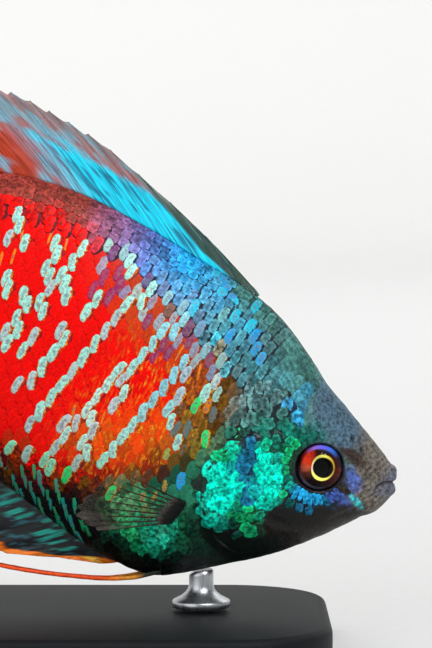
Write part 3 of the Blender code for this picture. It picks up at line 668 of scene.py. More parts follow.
def scale_plate():
    """A fish scale: a thin clear plate over pigment and mirror cells. It shows a mottled middle, whose
    brightest blotches are painted highlights, and a thin dark outline; its middle is painted lighter and
    its edge darker, as painted light on a domed plate. A marked scale has a bright upright capsule, with an
    orange halo where its colour's alpha asks for one; on other scales that alpha lets licks of orange and
    yellow pigment show. All of it is drawn in the plate's window, which is the part of it that its
    neighbours leave free."""
    material, tree, shader = finish_of("iridescent_scale", 0.42, 1.4, coat=0.02, specular=0.1)
    place = node(tree, "TexCoord").outputs["Object"]
    tint, _, _, halo = node(tree, "Attribute", attribute_name="tint").outputs
    mark, _, _, bulk = node(tree, "Attribute", attribute_name="mark").outputs
    finish = node(tree, "Attribute", attribute_name="finish").outputs["Vector"]
    rim, marked, gleam = node(tree, "SeparateXYZ", [finish]).outputs
    window = node(tree, "Attribute", attribute_name="window").outputs["Vector"]
    centre, reach, height = node(tree, "SeparateXYZ", [window]).outputs
    mottle = node(tree, "Attribute", attribute_name="mottle").outputs["Fac"]
    local = node(tree, "UVMap", uv_map="PlateUV")
    grain = node(tree, "TexNoise", {"Vector": place, "Scale": 6500.0, "Detail": 2.0})
    blotch = node(tree, "TexNoise", {"Vector": place, "Scale": 3000.0, "Detail": 2.5})
    # Each plate's window is the part of it that shows behind its neighbours: -1 to 1 across and up it
    middle = node(tree, "CombineXYZ", [centre, 0.5])
    span = node(tree, "CombineXYZ", [reach, height, 1.0])
    off = node(tree, "VectorMath", [local, middle], operation="SUBTRACT")
    even = node(tree, "VectorMath", [off, span], operation="DIVIDE")
    fine = node(tree, "VectorMath", [grain.outputs["Color"], (0.8, 0.36, 0.0), even],
                operation="MULTIPLY_ADD")
    bent = node(tree, "VectorMath", [blotch.outputs["Color"], (0.9, 0.5, 0.0), fine],
                operation="MULTIPLY_ADD")
    ragged = node(tree, "VectorMath", [bent, (0.85, 0.43, 0.0)], operation="SUBTRACT")
    nudged = node(tree, "VectorMath", [blotch.outputs["Color"], (0.6, 0.34, 0.0), even],
                  operation="MULTIPLY_ADD")
    wavy = node(tree, "VectorMath", [nudged, (0.3, 0.17, 0.0)], operation="SUBTRACT")
    square = node(tree, "VectorMath", [wavy, wavy], operation="MULTIPLY")
    away = node(tree, "VectorMath", [square], operation="LENGTH")
    worn = node(tree, "Math", [grain, 0.5, away], operation="MULTIPLY_ADD")
    outline = node(tree, "MapRange", [worn, 1.01, 1.22, 0.0, 1.0], interpolation_type="SMOOTHSTEP")
    sized = node(tree, "VectorMath", {0: ragged, "Scale": bulk}, operation="SCALE")
    narrow = node(tree, "VectorMath", [sized, (1.24, 0.9, 0.0)], operation="MULTIPLY")
    again = node(tree, "VectorMath", [narrow, narrow], operation="MULTIPLY")
    capsule = node(tree, "VectorMath", [again], operation="LENGTH")
    inside = node(tree, "MapRange", [capsule, 1.06, 0.8, 0.0, marked], interpolation_type="SMOOTHSTEP")
    fringe = node(tree, "MapRange", [capsule, 2.4, 1.25, 0.0, halo])
    # Licks of orange and yellow pigment, a fifth of a millimetre wide, that lean as the scale rows do
    leaning = node(tree, "Mapping", {"Vector": place, "Rotation": (0.0, math.radians(20), 0.0),
                   "Scale": (0.00024, 0.0003, 0.0009)}, vector_type="TEXTURE")
    licks = node(tree, "TexNoise", {"Vector": leaning, "Scale": 1.0, "Detail": 3.0})
    flames = node(tree, "MapRange", [licks, 0.5, 0.6, 0.0, 1.0])
    yellow = node(tree, "MapRange", [blotch, 0.5, 0.62, 0.0, 0.8])
    fire = node(tree, "Mix", {0: yellow, 6: (*FLAME_ORANGE, 1), 7: (*FLAME_YELLOW, 1)}, data_type="RGBA")
    lines = node(tree, "Mapping", {"Vector": local, "Scale": (2.0, 34.0, 1.0)})
    streaks = node(tree, "TexNoise", {"Vector": lines, "Scale": 1.0, "Detail": 1.0})
    bright = node(tree, "MapRange", [grain, 0.3, 0.7, 0.66, 1.15])
    # Painted light: the window's middle is painted up to 1.3 times lighter and its edge down to 0.78, as a
    # domed plate is lit
    painted_dome_light = node(tree, "MapRange", [away, 0.1, 0.75, 0.78, 1.3])
    grain_and_dome_light = node(tree, "Mix", {0: rim, 2: bright, 3: painted_dome_light})
    # Mottle: blotchy colour of the scale, whose brightest blotches are painted highlights
    cloudy = node(tree, "MapRange", [blotch, 0.36, 0.66, 0.22, 1.7])
    patchy = node(tree, "Mix", {0: mottle, 2: 1.0, 3: cloudy})
    light = node(tree, "Math", [grain_and_dome_light, patchy], operation="MULTIPLY")
    body = node(tree, "VectorMath", {0: tint, "Scale": light}, operation="SCALE")
    dark = node(tree, "Math", [outline, rim], operation="MULTIPLY")
    rimmed = node(tree, "Mix", {0: dark, 6: body, 7: (*OUTLINE_BLACK, 1)}, data_type="RGBA")
    round_mark = node(tree, "Math", [marked, 0.8], operation="MULTIPLY")
    reached = node(tree, "Math", [flames, round_mark], operation="MAXIMUM")
    lit = node(tree, "Math", [fringe, reached], operation="MULTIPLY")
    fringed = node(tree, "Mix", {0: lit, 6: rimmed, 7: fire}, data_type="RGBA")
    dull = node(tree, "MapRange", [blotch, 0.44, 0.6, 0.0, 0.7])
    core = node(tree, "MapRange", [capsule, 0.75, 0.15, 0.0, dull])
    speckled = node(tree, "Mix", {0: core, 6: mark, 7: (*SPECKLE_GREY, 1)}, data_type="RGBA")
    fleck = node(tree, "VectorMath", {0: speckled, "Scale": bright}, operation="SCALE")
    final = node(tree, "Mix", {0: inside, 6: fringed, 7: fleck}, data_type="RGBA")
    relief = node(tree, "Math", [streaks, grain], operation="ADD")
    bump = node(tree, "Bump", {"Height": relief, "Strength": 0.3, "Distance": 0.00005})
    wire(tree, shader, {"Base Color": final, "Metallic": gleam, "Normal": bump})
    return material


def fin_web():
    """The web of a fin: skin a tenth of a millimetre thick, more or less clear, finely ribbed along
    the rays. It looks like wet film with streaks of pigment."""
    material, tree, shader = finish_of("fin_web", 0.35, 1.4, coat=0.15)
    tint = node(tree, "Attribute", attribute_name="tint")
    veil = node(tree, "Attribute", attribute_name="veil").outputs["Fac"]
    local = node(tree, "UVMap", uv_map="FinUV")
    stretched = node(tree, "Mapping", {"Vector": local, "Scale": (13.0, 3.4, 1.0)})
    streaks = node(tree, "TexNoise", {"Vector": stretched, "Scale": 1.0, "Detail": 3.0})
    shaded = uneven(tree, tint, streaks, 0.32, 0.68, 0.4, 1.5)
    bump = node(tree, "Bump", {"Height": streaks, "Strength": 0.4, "Distance": 0.0001})
    wire(tree, shader, {"Base Color": shaded, "Alpha": veil, "Normal": bump})
    return material


def fin_ray(name):
    """A fin ray or feeler: horny, jointed every third of a millimetre, which shows as fine rings."""
    material, tree, shader = finish_of(name, 0.45, 1.4, coat=0.05, specular=0.2)
    place = node(tree, "TexCoord").outputs["Object"]
    tint = node(tree, "Attribute", attribute_name="tint")
    along = node(tree, "Attribute", attribute_name="flow").outputs["Fac"]
    rings = node(tree, "Math", [along, 19.0], operation="MULTIPLY")
    wave = node(tree, "Math", [rings], operation="SINE")
    spots = node(tree, "TexNoise", {"Vector": place, "Scale": 3000.0, "Detail": 2.0})
    shaded = uneven(tree, tint, spots, 0.3, 0.7, 0.75, 1.2)
    bump = node(tree, "Bump", {"Height": wave, "Strength": 0.05, "Distance": 0.00004})
    wire(tree, shader, {"Base Color": shaded, "Normal": bump})
    return material


def iris():
    """The painted inside of the eye: a yellow thread round the pupil, a red and dark brown iris with
    radial fibres, and a violet to grey outer ring. The thread's pink-white behind the pupil and the ring's
    grey below and behind it are painted highlights."""
    material, tree, shader = finish_of("fish_iris", 0.35, 1.4, specular=0.12)
    local = node(tree, "UVMap", uv_map="IrisUV")
    shifted = node(tree, "VectorMath", [local, (*(-s / EYE_RADIUS for s in PUPIL_SHIFT), 0.0)],
                   operation="ADD")
    across, up, _ = node(tree, "SeparateXYZ", [local]).outputs
    angle = node(tree, "Math", [up, across], operation="ARCTAN2")
    around = node(tree, "MapRange", [angle, -math.pi, math.pi, 0.0, 1.0])
    far = node(tree, "VectorMath", [local], operation="LENGTH")
    near = node(tree, "VectorMath", [shifted], operation="LENGTH")
    polar = node(tree, "CombineXYZ", [around, near])
    fibres = node(tree, "Mapping", {"Vector": polar, "Scale": (60.0, 3.0, 1.0)})
    noise = node(tree, "TexNoise", {"Vector": fibres, "Scale": 1.0, "Detail": 3.0})
    # The turn starts in front of the eye (0), passes below it (0.25) and behind it (0.5) to its top (0.75)
    ground = node(tree, "ValToRGB", [around], stops=[
        (0.0, "#5A1E10"), (0.12, "#3E120A"), (0.25, "#1C0C0A"), (0.36, "#160A08"), (0.44, "#5E2A1E"),
        (0.5, "#C05A3C"), (0.57, "#E03410"), (0.66, "#C42808"), (0.72, "#300C06"), (0.82, "#120806"),
        (0.94, "#42160C"),
    ])
    # Painted highlight: the outer ring's grey below and behind the pupil, from 0.3 to 0.47 of the turn
    outer = node(tree, "ValToRGB", [around], stops=[
        (0.0, "#5A2018"), (0.18, "#2E1A20"), (0.3, "#4E5064"), (0.38, "#7A7C90"), (0.47, "#5E4A54"),
        (0.55, "#3E1614"), (0.63, "#7E2A26"), (0.7, "#9A6CD0"), (0.78, "#6468EC"), (0.86, "#2E6AD0"),
        (0.92, "#241828"),
    ])
    # Painted highlight: the thread's pink-white behind the pupil, from 0.48 to 0.56 of the turn
    thread = node(tree, "ValToRGB", [around], stops=[
        (0.0, "#A07A28"), (0.18, "#FFF870"), (0.38, "#FFFC78"), (0.48, "#FFD8C0"), (0.56, "#FFE4A8"),
        (0.66, "#FFFF88"), (0.82, "#FFF868"), (0.93, "#C8A030"),
    ])
    woven = uneven(tree, ground, noise, 0.3, 0.7, 0.55, 1.3)
    ring = node(tree, "MapRange", [far, 0.79, 0.85, 0.0, 1.0])
    ringed = node(tree, "Mix", {0: ring, 6: woven, 7: outer}, data_type="RGBA")
    # The thread is widest above the pupil and below it towards the tail
    double = node(tree, "Math", [angle, 2.0, -3.66], operation="MULTIPLY_ADD")
    waves = node(tree, "Math", [double], operation="COSINE")
    limit = node(tree, "Math", [waves, 0.04, 0.535], operation="MULTIPLY_ADD")
    beyond = node(tree, "Math", [near, limit], operation="SUBTRACT")
    band = node(tree, "MapRange", [beyond, -0.01, 0.012, 1.0, 0.0])
    lined = node(tree, "Mix", {0: band, 6: ringed, 7: thread}, data_type="RGBA")
    hole = node(tree, "MapRange", [near, 0.435, 0.45, 1.0, 0.0])
    final = node(tree, "Mix", {0: hole, 6: lined, 7: (*PUPIL_BLACK, 1)}, data_type="RGBA")
    wire(tree, shader, {"Base Color": final})
    return material


def cornea():
    """The clear front of the eye, wet and as smooth as glass: only its gloss is seen."""
    material = bpy.data.materials.new("cornea")
    material.use_nodes = True
    tree = material.node_tree
    tree.nodes.remove(tree.nodes["Principled BSDF"])
    facing = node(tree, "Fresnel", {"IOR": 1.13})
    clear = node(tree, "BsdfTransparent")
    gloss = node(tree, "BsdfGlossy", {"Roughness": 0.03})
    both = node(tree, "MixShader", [facing, clear, gloss])
    wire(tree, tree.nodes["Material Output"], {"Surface": both})
    return material


def black_lacquer(colour):
    """Satin black lacquer, rubbed down: an even soft sheen with a trace of orange peel."""
    material, tree, shader = finish_of("satin_black_lacquer", 0.55, 1.35, specular=0.2)
    place = node(tree, "TexCoord").outputs["Object"]
    peel = node(tree, "TexNoise", {"Vector": place, "Scale": 900.0, "Detail": 2.0})
    tinted = uneven(tree, (*colour, 1), peel, 0.3, 0.7, 0.9, 1.1)
    bump = node(tree, "Bump", {"Height": peel, "Strength": 0.04, "Distance": 0.0001})
    wire(tree, shader, {"Base Color": tinted, "Normal": bump})
    return material


def brushed_steel(colour):
    """Stainless steel brushed along the rod: grey metal with fine upright lines."""
    material, tree, shader = finish_of("brushed_stainless_steel", 0.32, 1.5, metallic=1.0)
    place = node(tree, "TexCoord").outputs["Object"]
    drawn = node(tree, "Mapping", {"Vector": place, "Scale": (9000.0, 9000.0, 120.0)})
    lines = node(tree, "TexNoise", {"Vector": drawn, "Scale": 1.0, "Detail": 2.0})
    tinted = uneven(tree, (*colour, 1), lines, 0.3, 0.7, 0.8, 1.1)
    rough = node(tree, "MapRange", [lines, 0.3, 0.7, 0.26, 0.42])
    wire(tree, shader, {"Base Color": tinted, "Roughness": rough})
    return material


def matt_paper(colour):
    """Seamless studio paper: matt, with a faint tooth."""
    material, tree, shader = finish_of("studio_paper", 0.9, 1.45)
    place = node(tree, "TexCoord").outputs["Object"]
    tooth = node(tree, "TexNoise", {"Vector": place, "Scale": 700.0, "Detail": 3.0})
    tinted = uneven(tree, (*colour, 1), tooth, 0.3, 0.7, 0.985, 1.01)
    wire(tree, shader, {"Base Color": tinted})
    return material


def mesh_object(name, points, faces, material=None, attributes=None, edges=()):
    """An object at the origin from points in metres, with attributes of its points."""
    mesh = bpy.data.meshes.new(name)
    mesh.from_pydata([tuple(p) for p in points], list(edges), [tuple(f) for f in faces])
    give(mesh, attributes or {})
    if material:
        mesh.materials.append(material)
    obj = bpy.data.objects.new(name, mesh)
    bpy.context.scene.collection.objects.link(obj)
    return obj


def give(mesh, attributes):
    """Stores arrays of numbers, vectors or colours on a mesh's points."""
    for key, values in attributes.items():
        values = np.asarray(values, float)
        if values.ndim == 1:
            mesh.attributes.new(key, "FLOAT", "POINT").data.foreach_set("value", values)
        elif key in ("tint", "mark"):
            alpha = np.ones((len(values), 4 - values.shape[1]))
            rgba = np.concatenate([values, alpha], 1)
            mesh.attributes.new(key, "FLOAT_COLOR", "POINT").data.foreach_set("color", rgba.ravel())
        else:
            mesh.attributes.new(key, "FLOAT_VECTOR", "POINT").data.foreach_set("vector", values.ravel())


def map_uv(mesh, name, places):
    """A UV map that gives each corner the place of its point."""
    corners = np.zeros(len(mesh.loops), int)
    mesh.loops.foreach_get("vertex_index", corners)
    mesh.uv_layers.new(name=name).uv.foreach_set("vector", np.asarray(places, float)[corners].ravel())


def face_outwards(mesh):
    """Turns a closed mesh's faces outwards and smooths its shading."""
    shell = bmesh.new()
    shell.from_mesh(mesh)
    bmesh.ops.recalc_face_normals(shell, faces=shell.faces)
    if shell.calc_volume(signed=True) < 0:
        bmesh.ops.reverse_faces(shell, faces=shell.faces)
    shell.to_mesh(mesh)
    shell.free()
    mesh.shade_smooth()


def settled(obj):
    """Bakes an object's modifiers into its mesh."""
    graph = bpy.context.evaluated_depsgraph_get()
    mesh = bpy.data.meshes.new_from_object(obj.evaluated_get(graph), preserve_all_data_layers=True,
                                           depsgraph=graph)
    old = obj.data
    obj.modifiers.clear()
    obj.data = mesh
    mesh.name = obj.name
    bpy.data.meshes.remove(old)


def grown(obj, tree, **inputs):
    """Runs a Geometry Nodes tree on an object and keeps the result as its plain mesh."""
    modifier = obj.modifiers.new(tree.name, "NODES")
    modifier.node_group = tree
    for item in tree.interface.items_tree:
        key = item.name.lower().replace(" ", "_")
        if item.in_out == "INPUT" and key in inputs:
            modifier[item.identifier] = inputs[key]
    settled(obj)


def new_tree(name, inputs):
    """An empty Geometry Nodes tree with a geometry passing through and named inputs."""
    tree = bpy.data.node_groups.new(name, "GeometryNodeTree")
    for label, kind in (("Geometry", "NodeSocketGeometry"), *inputs):
        tree.interface.new_socket(name=label, in_out="INPUT", socket_type=kind)
    tree.interface.new_socket(name="Geometry", in_out="OUTPUT", socket_type="NodeSocketGeometry")
    return tree, node(tree, "NodeGroupInput").outputs


def scale_tree():
    """Lays a plate on each point, wraps it onto the skin and gives it its own patch of the bake map."""
    tree, given = new_tree("lay_scales", (
        ("Plate", "NodeSocketObject"), ("Skin", "NodeSocketObject"), ("Length", "NodeSocketFloat"),
        ("Half height", "NodeSocketFloat"), ("Lift", "NodeSocketFloat"), ("Variation", "NodeSocketFloat"),
        ("Patch", "NodeSocketFloat"), ("Seed", "NodeSocketInt"), ("Material", "NodeSocketMaterial"),
    ))
    named = {}
    for key in ("lie", "out", "size", "spot", "PlateUV"):
        named[key] = node(tree, "GeometryNodeInputNamedAttribute", {"Name": key}, data_type="FLOAT_VECTOR")
    rise = node(tree, "GeometryNodeInputNamedAttribute", {"Name": "rise"}, data_type="FLOAT")
    plate = node(tree, "GeometryNodeObjectInfo", {"Object": given["Plate"]}).outputs["Geometry"]
    skin = node(tree, "GeometryNodeObjectInfo", {"Object": given["Skin"]}).outputs["Geometry"]
    facing = node(tree, "FunctionNodeAxesToRotation", [named["out"], named["lie"]], primary_axis="Z",
                  secondary_axis="X")
    unit_size = node(tree, "CombineXYZ", [given["Length"], given["Half height"], 1.0])
    least = node(tree, "Math", [1.0, given["Variation"]], operation="SUBTRACT")
    most = node(tree, "Math", [1.0, given["Variation"]], operation="ADD")
    varied = node(tree, "FunctionNodeRandomValue", {2: least, 3: most, "Seed": given["Seed"]},
                  data_type="FLOAT")
    sized = node(tree, "VectorMath", [unit_size, named["size"]], operation="MULTIPLY")
    scaled = node(tree, "VectorMath", {0: sized, "Scale": varied}, operation="SCALE")
    laid = node(tree, "GeometryNodeInstanceOnPoints", {
        "Points": given["Geometry"], "Instance": plate, "Rotation": facing, "Scale": scaled,
    })
    solid = node(tree, "GeometryNodeRealizeInstances", [laid])
    here = node(tree, "GeometryNodeInputPosition")
    foot = node(tree, "GeometryNodeProximity", [skin])
    normal = node(tree, "GeometryNodeInputNormal")
    up = node(tree, "GeometryNodeSampleNearestSurface", {0: skin, 1: normal, "Sample Position": here},
              data_type="FLOAT_VECTOR")
    stature = node(tree, "SeparateXYZ", [named["size"]]).outputs["Z"]
    height = node(tree, "Math", [given["Lift"], stature], operation="MULTIPLY")
    raised = node(tree, "Math", [height, rise], operation="MULTIPLY")
    offset = node(tree, "VectorMath", {0: up, "Scale": raised}, operation="SCALE")
    wrapped = node(tree, "GeometryNodeSetPosition", {0: solid, "Position": foot, "Offset": offset})
    middle = node(tree, "VectorMath", [named["PlateUV"], (0.5, 0.5, 0.0)], operation="SUBTRACT")
    small = node(tree, "VectorMath", {0: middle, "Scale": given["Patch"]}, operation="SCALE")
    baked = node(tree, "VectorMath", [named["spot"], small], operation="ADD")
    mapped = node(tree, "GeometryNodeStoreNamedAttribute", {0: wrapped, "Name": "OFBake", "Value": baked},
                  data_type="FLOAT2", domain="CORNER")
    soft = node(tree, "GeometryNodeSetShadeSmooth", [mapped])
    painted = node(tree, "GeometryNodeSetMaterial", {0: soft, "Material": given["Material"]})
    node(tree, "NodeGroupOutput", [painted])
    return tree


def ray_tree():
    """Turns lines with a radius on each point into round tapered rays."""
    tree, given = new_tree("draw_rays", (
        ("Radius", "NodeSocketFloat"), ("Sides", "NodeSocketInt"), ("Material", "NodeSocketMaterial"),
    ))
    thick = node(tree, "GeometryNodeInputNamedAttribute", {"Name": "thick"}, data_type="FLOAT")
    radius = node(tree, "Math", [thick, given["Radius"]], operation="MULTIPLY")
    line = node(tree, "GeometryNodeMeshToCurve", [given["Geometry"]])
    hoop = node(tree, "GeometryNodeCurvePrimitiveCircle", {"Resolution": given["Sides"], "Radius": 1.0})
    drawn = node(tree, "GeometryNodeCurveToMesh", {
        "Curve": line, "Profile Curve": hoop, "Scale": radius, "Fill Caps": True,
    })
    whole = node(tree, "GeometryNodeRealizeInstances", [drawn])
    soft = node(tree, "GeometryNodeSetShadeSmooth", [whole])
    painted = node(tree, "GeometryNodeSetMaterial", {0: soft, "Material": given["Material"]})
    node(tree, "NodeGroupOutput", [painted])
    return tree


def lofted(rings):
    """Points and faces of a closed skin through rings of equal count, capped at both ends."""
    count = len(rings[0])
    faces = [tuple(range(count)), tuple(range((len(rings) - 1) * count, len(rings) * count))]
    for j in range(len(rings) - 1):
        for k in range(count):
            a, b = j * count + k, j * count + (k + 1) % count
            faces.append((a, b, b + count, a + count))
    return np.concatenate(rings), faces


def spun_faces(count, rings):
    """Faces from a middle point, which is the first, out through rings of equal count."""
    faces = [(0, 1 + k, 1 + (k + 1) % count) for k in range(count)]
    for j in range(rings - 1):
        for k in range(count):
            a, b = 1 + j * count + k, 1 + j * count + (k + 1) % count
            faces.append((a, a + count, b + count, b))
    return faces


def body_form():
    """The body as one loft, fine enough to be seen."""
    stations = np.concatenate([np.linspace(0, 18, 91), np.linspace(18, BODY_LENGTH, 141)[1:]])
    turns = (np.arange(128) + 0.5) * 2 * math.pi / 128
    return lofted([surface(u, turns) for u in stations])


def lip_form(front, lift, thick):
    """A rounded lip from one corner of the mouth round the front to the other."""
    x0, y0, z0 = MOUTH_CORNER
    rings = []
    for turn in np.linspace(-math.pi / 2, math.pi / 2, 33):
        near = math.cos(turn)
        z = z0 + lift * (1 - near) + (front[2] - z0) * near
        spot = np.array([x0 + (front[0] - x0) * near, y0 * math.sin(turn), z])
        radius = LIP_CORNER_RADIUS + (thick - LIP_CORNER_RADIUS) * near
        aside = unit(np.array([-math.cos(turn) * y0, (front[0] - x0) * math.sin(turn), 0.0]))
        angles = np.arange(16) * 2 * math.pi / 16
        hoop = np.cos(angles)[:, None] * aside + np.sin(angles)[:, None] * (0, 0, 1)
        rings.append(spot + radius * hoop)
    return lofted(rings)


def gill_form(side):
    """A gill cover: sunk in the cheek in front, and proud along its round rear edge."""
    spokes, hoops = 96, 14
    outer, inner = [], []
    for share in np.linspace(0.001, 1, hoops):
        turn = np.arange(spokes) * 2 * math.pi / spokes
        u = GILL_CENTRE[0] + GILL_REACH[0] * share * np.cos(turn)
        v = np.maximum(GILL_CENTRE[1] + GILL_REACH[1] * share * np.sin(turn), belly(u) + GILL_ABOVE_BELLY)
        rear = 0.5 + 0.5 * np.cos(turn)
        proud = np.minimum(GILL_RISE * (rear * share * 2.2 - 1.0), GILL_RISE)
        width = flank(u, v)
        outer.append(np.stack([u, side * (width + proud), v], -1))
        inner.append(np.stack([u, side * (width - GILL_DEPTH), v], -1))
    return lofted(outer + inner[::-1])


def snout_wrinkles(u, v):
    """Where the loose skin of the snout and lower jaw folds into ridges, from 0 to 1. The skin's colour
    paints these ridges paler, as a painted highlight.
    """
    ridges = np.sin((0.82 * u + 0.58 * v + 0.16 * clouds(u, v, 0.7, 41)) * 2 * math.pi / 0.46)
    jaw, snout = oval(u, v, (2.1, -2.2), (1.9, 1.3), -10, 0.6), oval(u, v, (1.9, 0.5), (1.6, 1.1), 30, 0.6)
    return np.maximum(jaw, 0.7 * snout) * ramp(ridges + 0.5 * clouds(u, v, 0.35, 42), -0.1, 0.9)


def flesh_relief(u, v):
    """How far the skin stands out of the plain form, in mm: coat depth, sockets, folds and pits."""
    skin = bpy.context.scene.gourami_skin
    relief = -skin.coat / MM * coated(u, v)
    off_eye = from_eye(u, v)
    relief = relief - 0.8 * ramp(off_eye, 2.16, 1.98) + 0.12 * np.exp(-(((off_eye - 2.26) / 0.12) ** 2))
    for place in NOSTRILS:
        off = np.hypot(u - place[0], v - place[1])
        relief = relief - 0.3 * ramp(off, NOSTRIL_RADIUS + 0.05, NOSTRIL_RADIUS - 0.12)
        relief = relief + 0.08 * np.exp(-(((off - NOSTRIL_RADIUS - 0.12) / 0.1) ** 2))
    for fold in SNOUT_FOLDS:
        off, share = off_path(u, v, fold)
        relief = relief - 0.09 * np.exp(-((off / 0.16) ** 2)) * ramp(share, -0.01, 0.25)
    slit, _ = off_path(u, v, MOUTH_LINE)
    relief = relief - 0.26 * np.exp(-((slit / 0.13) ** 2)) * ramp(u, 1.9, 1.5) + 0.05 * snout_wrinkles(u, v)
    bare = 1 - coated(u, v)
    relief = relief + bare * (0.02 * clouds(u, v, 0.45, 21) + 0.03 * clouds(u, v, 1.1, 22))
    return relief


def skin_colour(u, v):
    """The skin's colours: the ground colour with painted shade where scales overlie it, and the head's
    lines: painted shade in the eye's socket, the mouth, the snout's folds and the nostrils, and painted
    highlights on the snout's wrinkles.
    """
    tint = ground_colour(u, v)
    # Painted shade and dark outlines: the skin is darkened where scales overlie it, more above the
    # shoulder's line and on the gill cover, less on the brow's side
    outlined = np.maximum(ramp(above_shoulder_line(u, v), -1.0, 0.5), gill_oval(u, v) < 1.15)
    brow_side = ramp(u, 16.5, 15.0) * ramp(v, -1.5, 0.0)
    tint = tint * (1 - coated(u, v) * (0.4 + 0.5 * outlined * (1 - 0.6 * brow_side)))[..., None]
    off_eye = from_eye(u, v)
    # Painted shade: a dark ring in the gap between the eye and its socket
    tint = mix(tint, SOCKET_SHADE, ramp(off_eye, 2.34, 2.18))
    # Painted shade in the mouth's slit
    slit, _ = off_path(u, v, MOUTH_LINE)
    tint = mix(tint, MOUTH_SHADE, 0.9 * ramp(slit, 0.2, 0.06) * ramp(u, 1.9, 1.5))
    # Painted shade along the snout's folds
    for fold in SNOUT_FOLDS:
        off, _ = off_path(u, v, fold)
        tint = mix(tint, FOLD_SHADE, 0.6 * ramp(off, 0.22, 0.05))
    # Painted highlight: the snout's wrinkles are paler on their ridges
    tint = mix(tint, WRINKLE_HIGHLIGHT, 0.55 * snout_wrinkles(u, v))
    # Painted shade in the nostrils' pits
    for place in NOSTRILS:
        tint = mix(tint, NOSTRIL_SHADE, 0.85 * ramp(np.hypot(u - place[0], v - place[1]), 0.24, 0.12))
    return tint


def points_of(mesh, kind="vertices", what="co"):
    """The places of a mesh's points, or another vector that each point has."""
    found = np.zeros(len(mesh.vertices) * 3)
    getattr(mesh, kind).foreach_get(what, found)
    return found.reshape(-1, 3)


class GOURAMI_OT_skin(bpy.types.Operator):
    """Makes the one skin of head, trunk and tail stalk"""

    bl_idname = "gourami.skin"
    bl_label = "Skin"

    def execute(self, context):
        settings = context.scene.gourami_skin
        forms = [body_form(), lip_form(*UPPER_LIP), lip_form(*LOWER_LIP), gill_form(1), gill_form(-1)]
        points, faces = [], []
        for spots, shell in forms:
            start = sum(len(p) for p in points)
            points.append(placed(spots))
            faces += [tuple(i + start for i in face) for face in shell]
        skin = mesh_object("skin", np.concatenate(points), faces)
        fuse = skin.modifiers.new("fuse", "REMESH")
        fuse.mode = "VOXEL"
        fuse.voxel_size = settings.grain
        calm = skin.modifiers.new("calm", "SMOOTH")
        calm.factor = 0.5
        calm.iterations = 5
        settled(skin)
        # The skin that scales hide gets fewer triangles, so the bare head can keep its fine ones
        hidden = skin.vertex_groups.new(name="under_scales")
        hidden.add(np.flatnonzero(fish_frame(points_of(skin.data))[0] > HEAD_END).tolist(), 1.0, "REPLACE")
        thin = skin.modifiers.new("thin", "DECIMATE")
        thin.ratio, thin.vertex_group = SKIN_KEPT, hidden.name
        settled(skin)
        skin.vertex_groups.clear()
        mesh = skin.data
        spots = points_of(mesh)
        u, _, v = fish_frame(spots)
        out = points_of(mesh, "vertex_normals", "vector")
        mesh.vertices.foreach_set("co", (spots + out * (flesh_relief(u, v) * MM)[:, None]).ravel())
        give(mesh, {"tint": skin_colour(u, v)})
        mesh.materials.append(wet_skin())
        mesh.shade_smooth()
        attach(skin, "root")
        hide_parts("head", "trunk", "tail_stalk")
        return {"FINISHED"}


def plate_template():
    """One scale, flat, one long and two high: a rounded plate of 49 faces. The rise of a point is its
    height over the skin as a share of the lift; the plate rises to its free rear edge."""
    points, rise = [(0.1, 0.0, 0.0)], [0.72]
    around = 12
    for layer, (share, height) in enumerate(((0.45, 0.72), (0.84, 0.66), (1.0, 0.42), (1.0, -0.3))):
        for k in range(around):
            turn = 2 * math.pi * k / around
            x, y = math.cos(turn), math.sin(turn)
            reach = share * (abs(x) ** 2.8 + abs(y) ** 2.8) ** (-1 / 2.8)
            points.append((0.1 + 0.65 * reach * x, reach * y, 0.0))
            rise.append(height + (0.42 * share * x if layer < 3 else 0.0))
    under = tuple(range(len(points) - 1, len(points) - 1 - around, -1))
    faces = [*spun_faces(around, 4), under]
    plate = mesh_object("plate", points, faces, attributes={"rise": rise})
    spots = np.array(points)
    map_uv(plate.data, "PlateUV", np.stack([0.5 + (spots[:, 0] - 0.1) / 1.5, 0.5 + spots[:, 1] / 2.2], -1))
    return plate


def column_pitch(u):
    """Distance to the next column of scales, narrower towards the tail."""
    flank_pitch = bpy.context.scene.gourami_scales.column / MM
    return flank_pitch * float(np.interp(u, (14, 30, 45, 65), (1.02, 1.0, 0.95, 0.72)))


def arc_down(u, turns):
    """Distances along the skin from the back's edge down one side of a station."""
    ring = surface(u, turns)
    return np.concatenate([[0], np.cumsum(np.linalg.norm(np.diff(ring, axis=0), axis=1))])


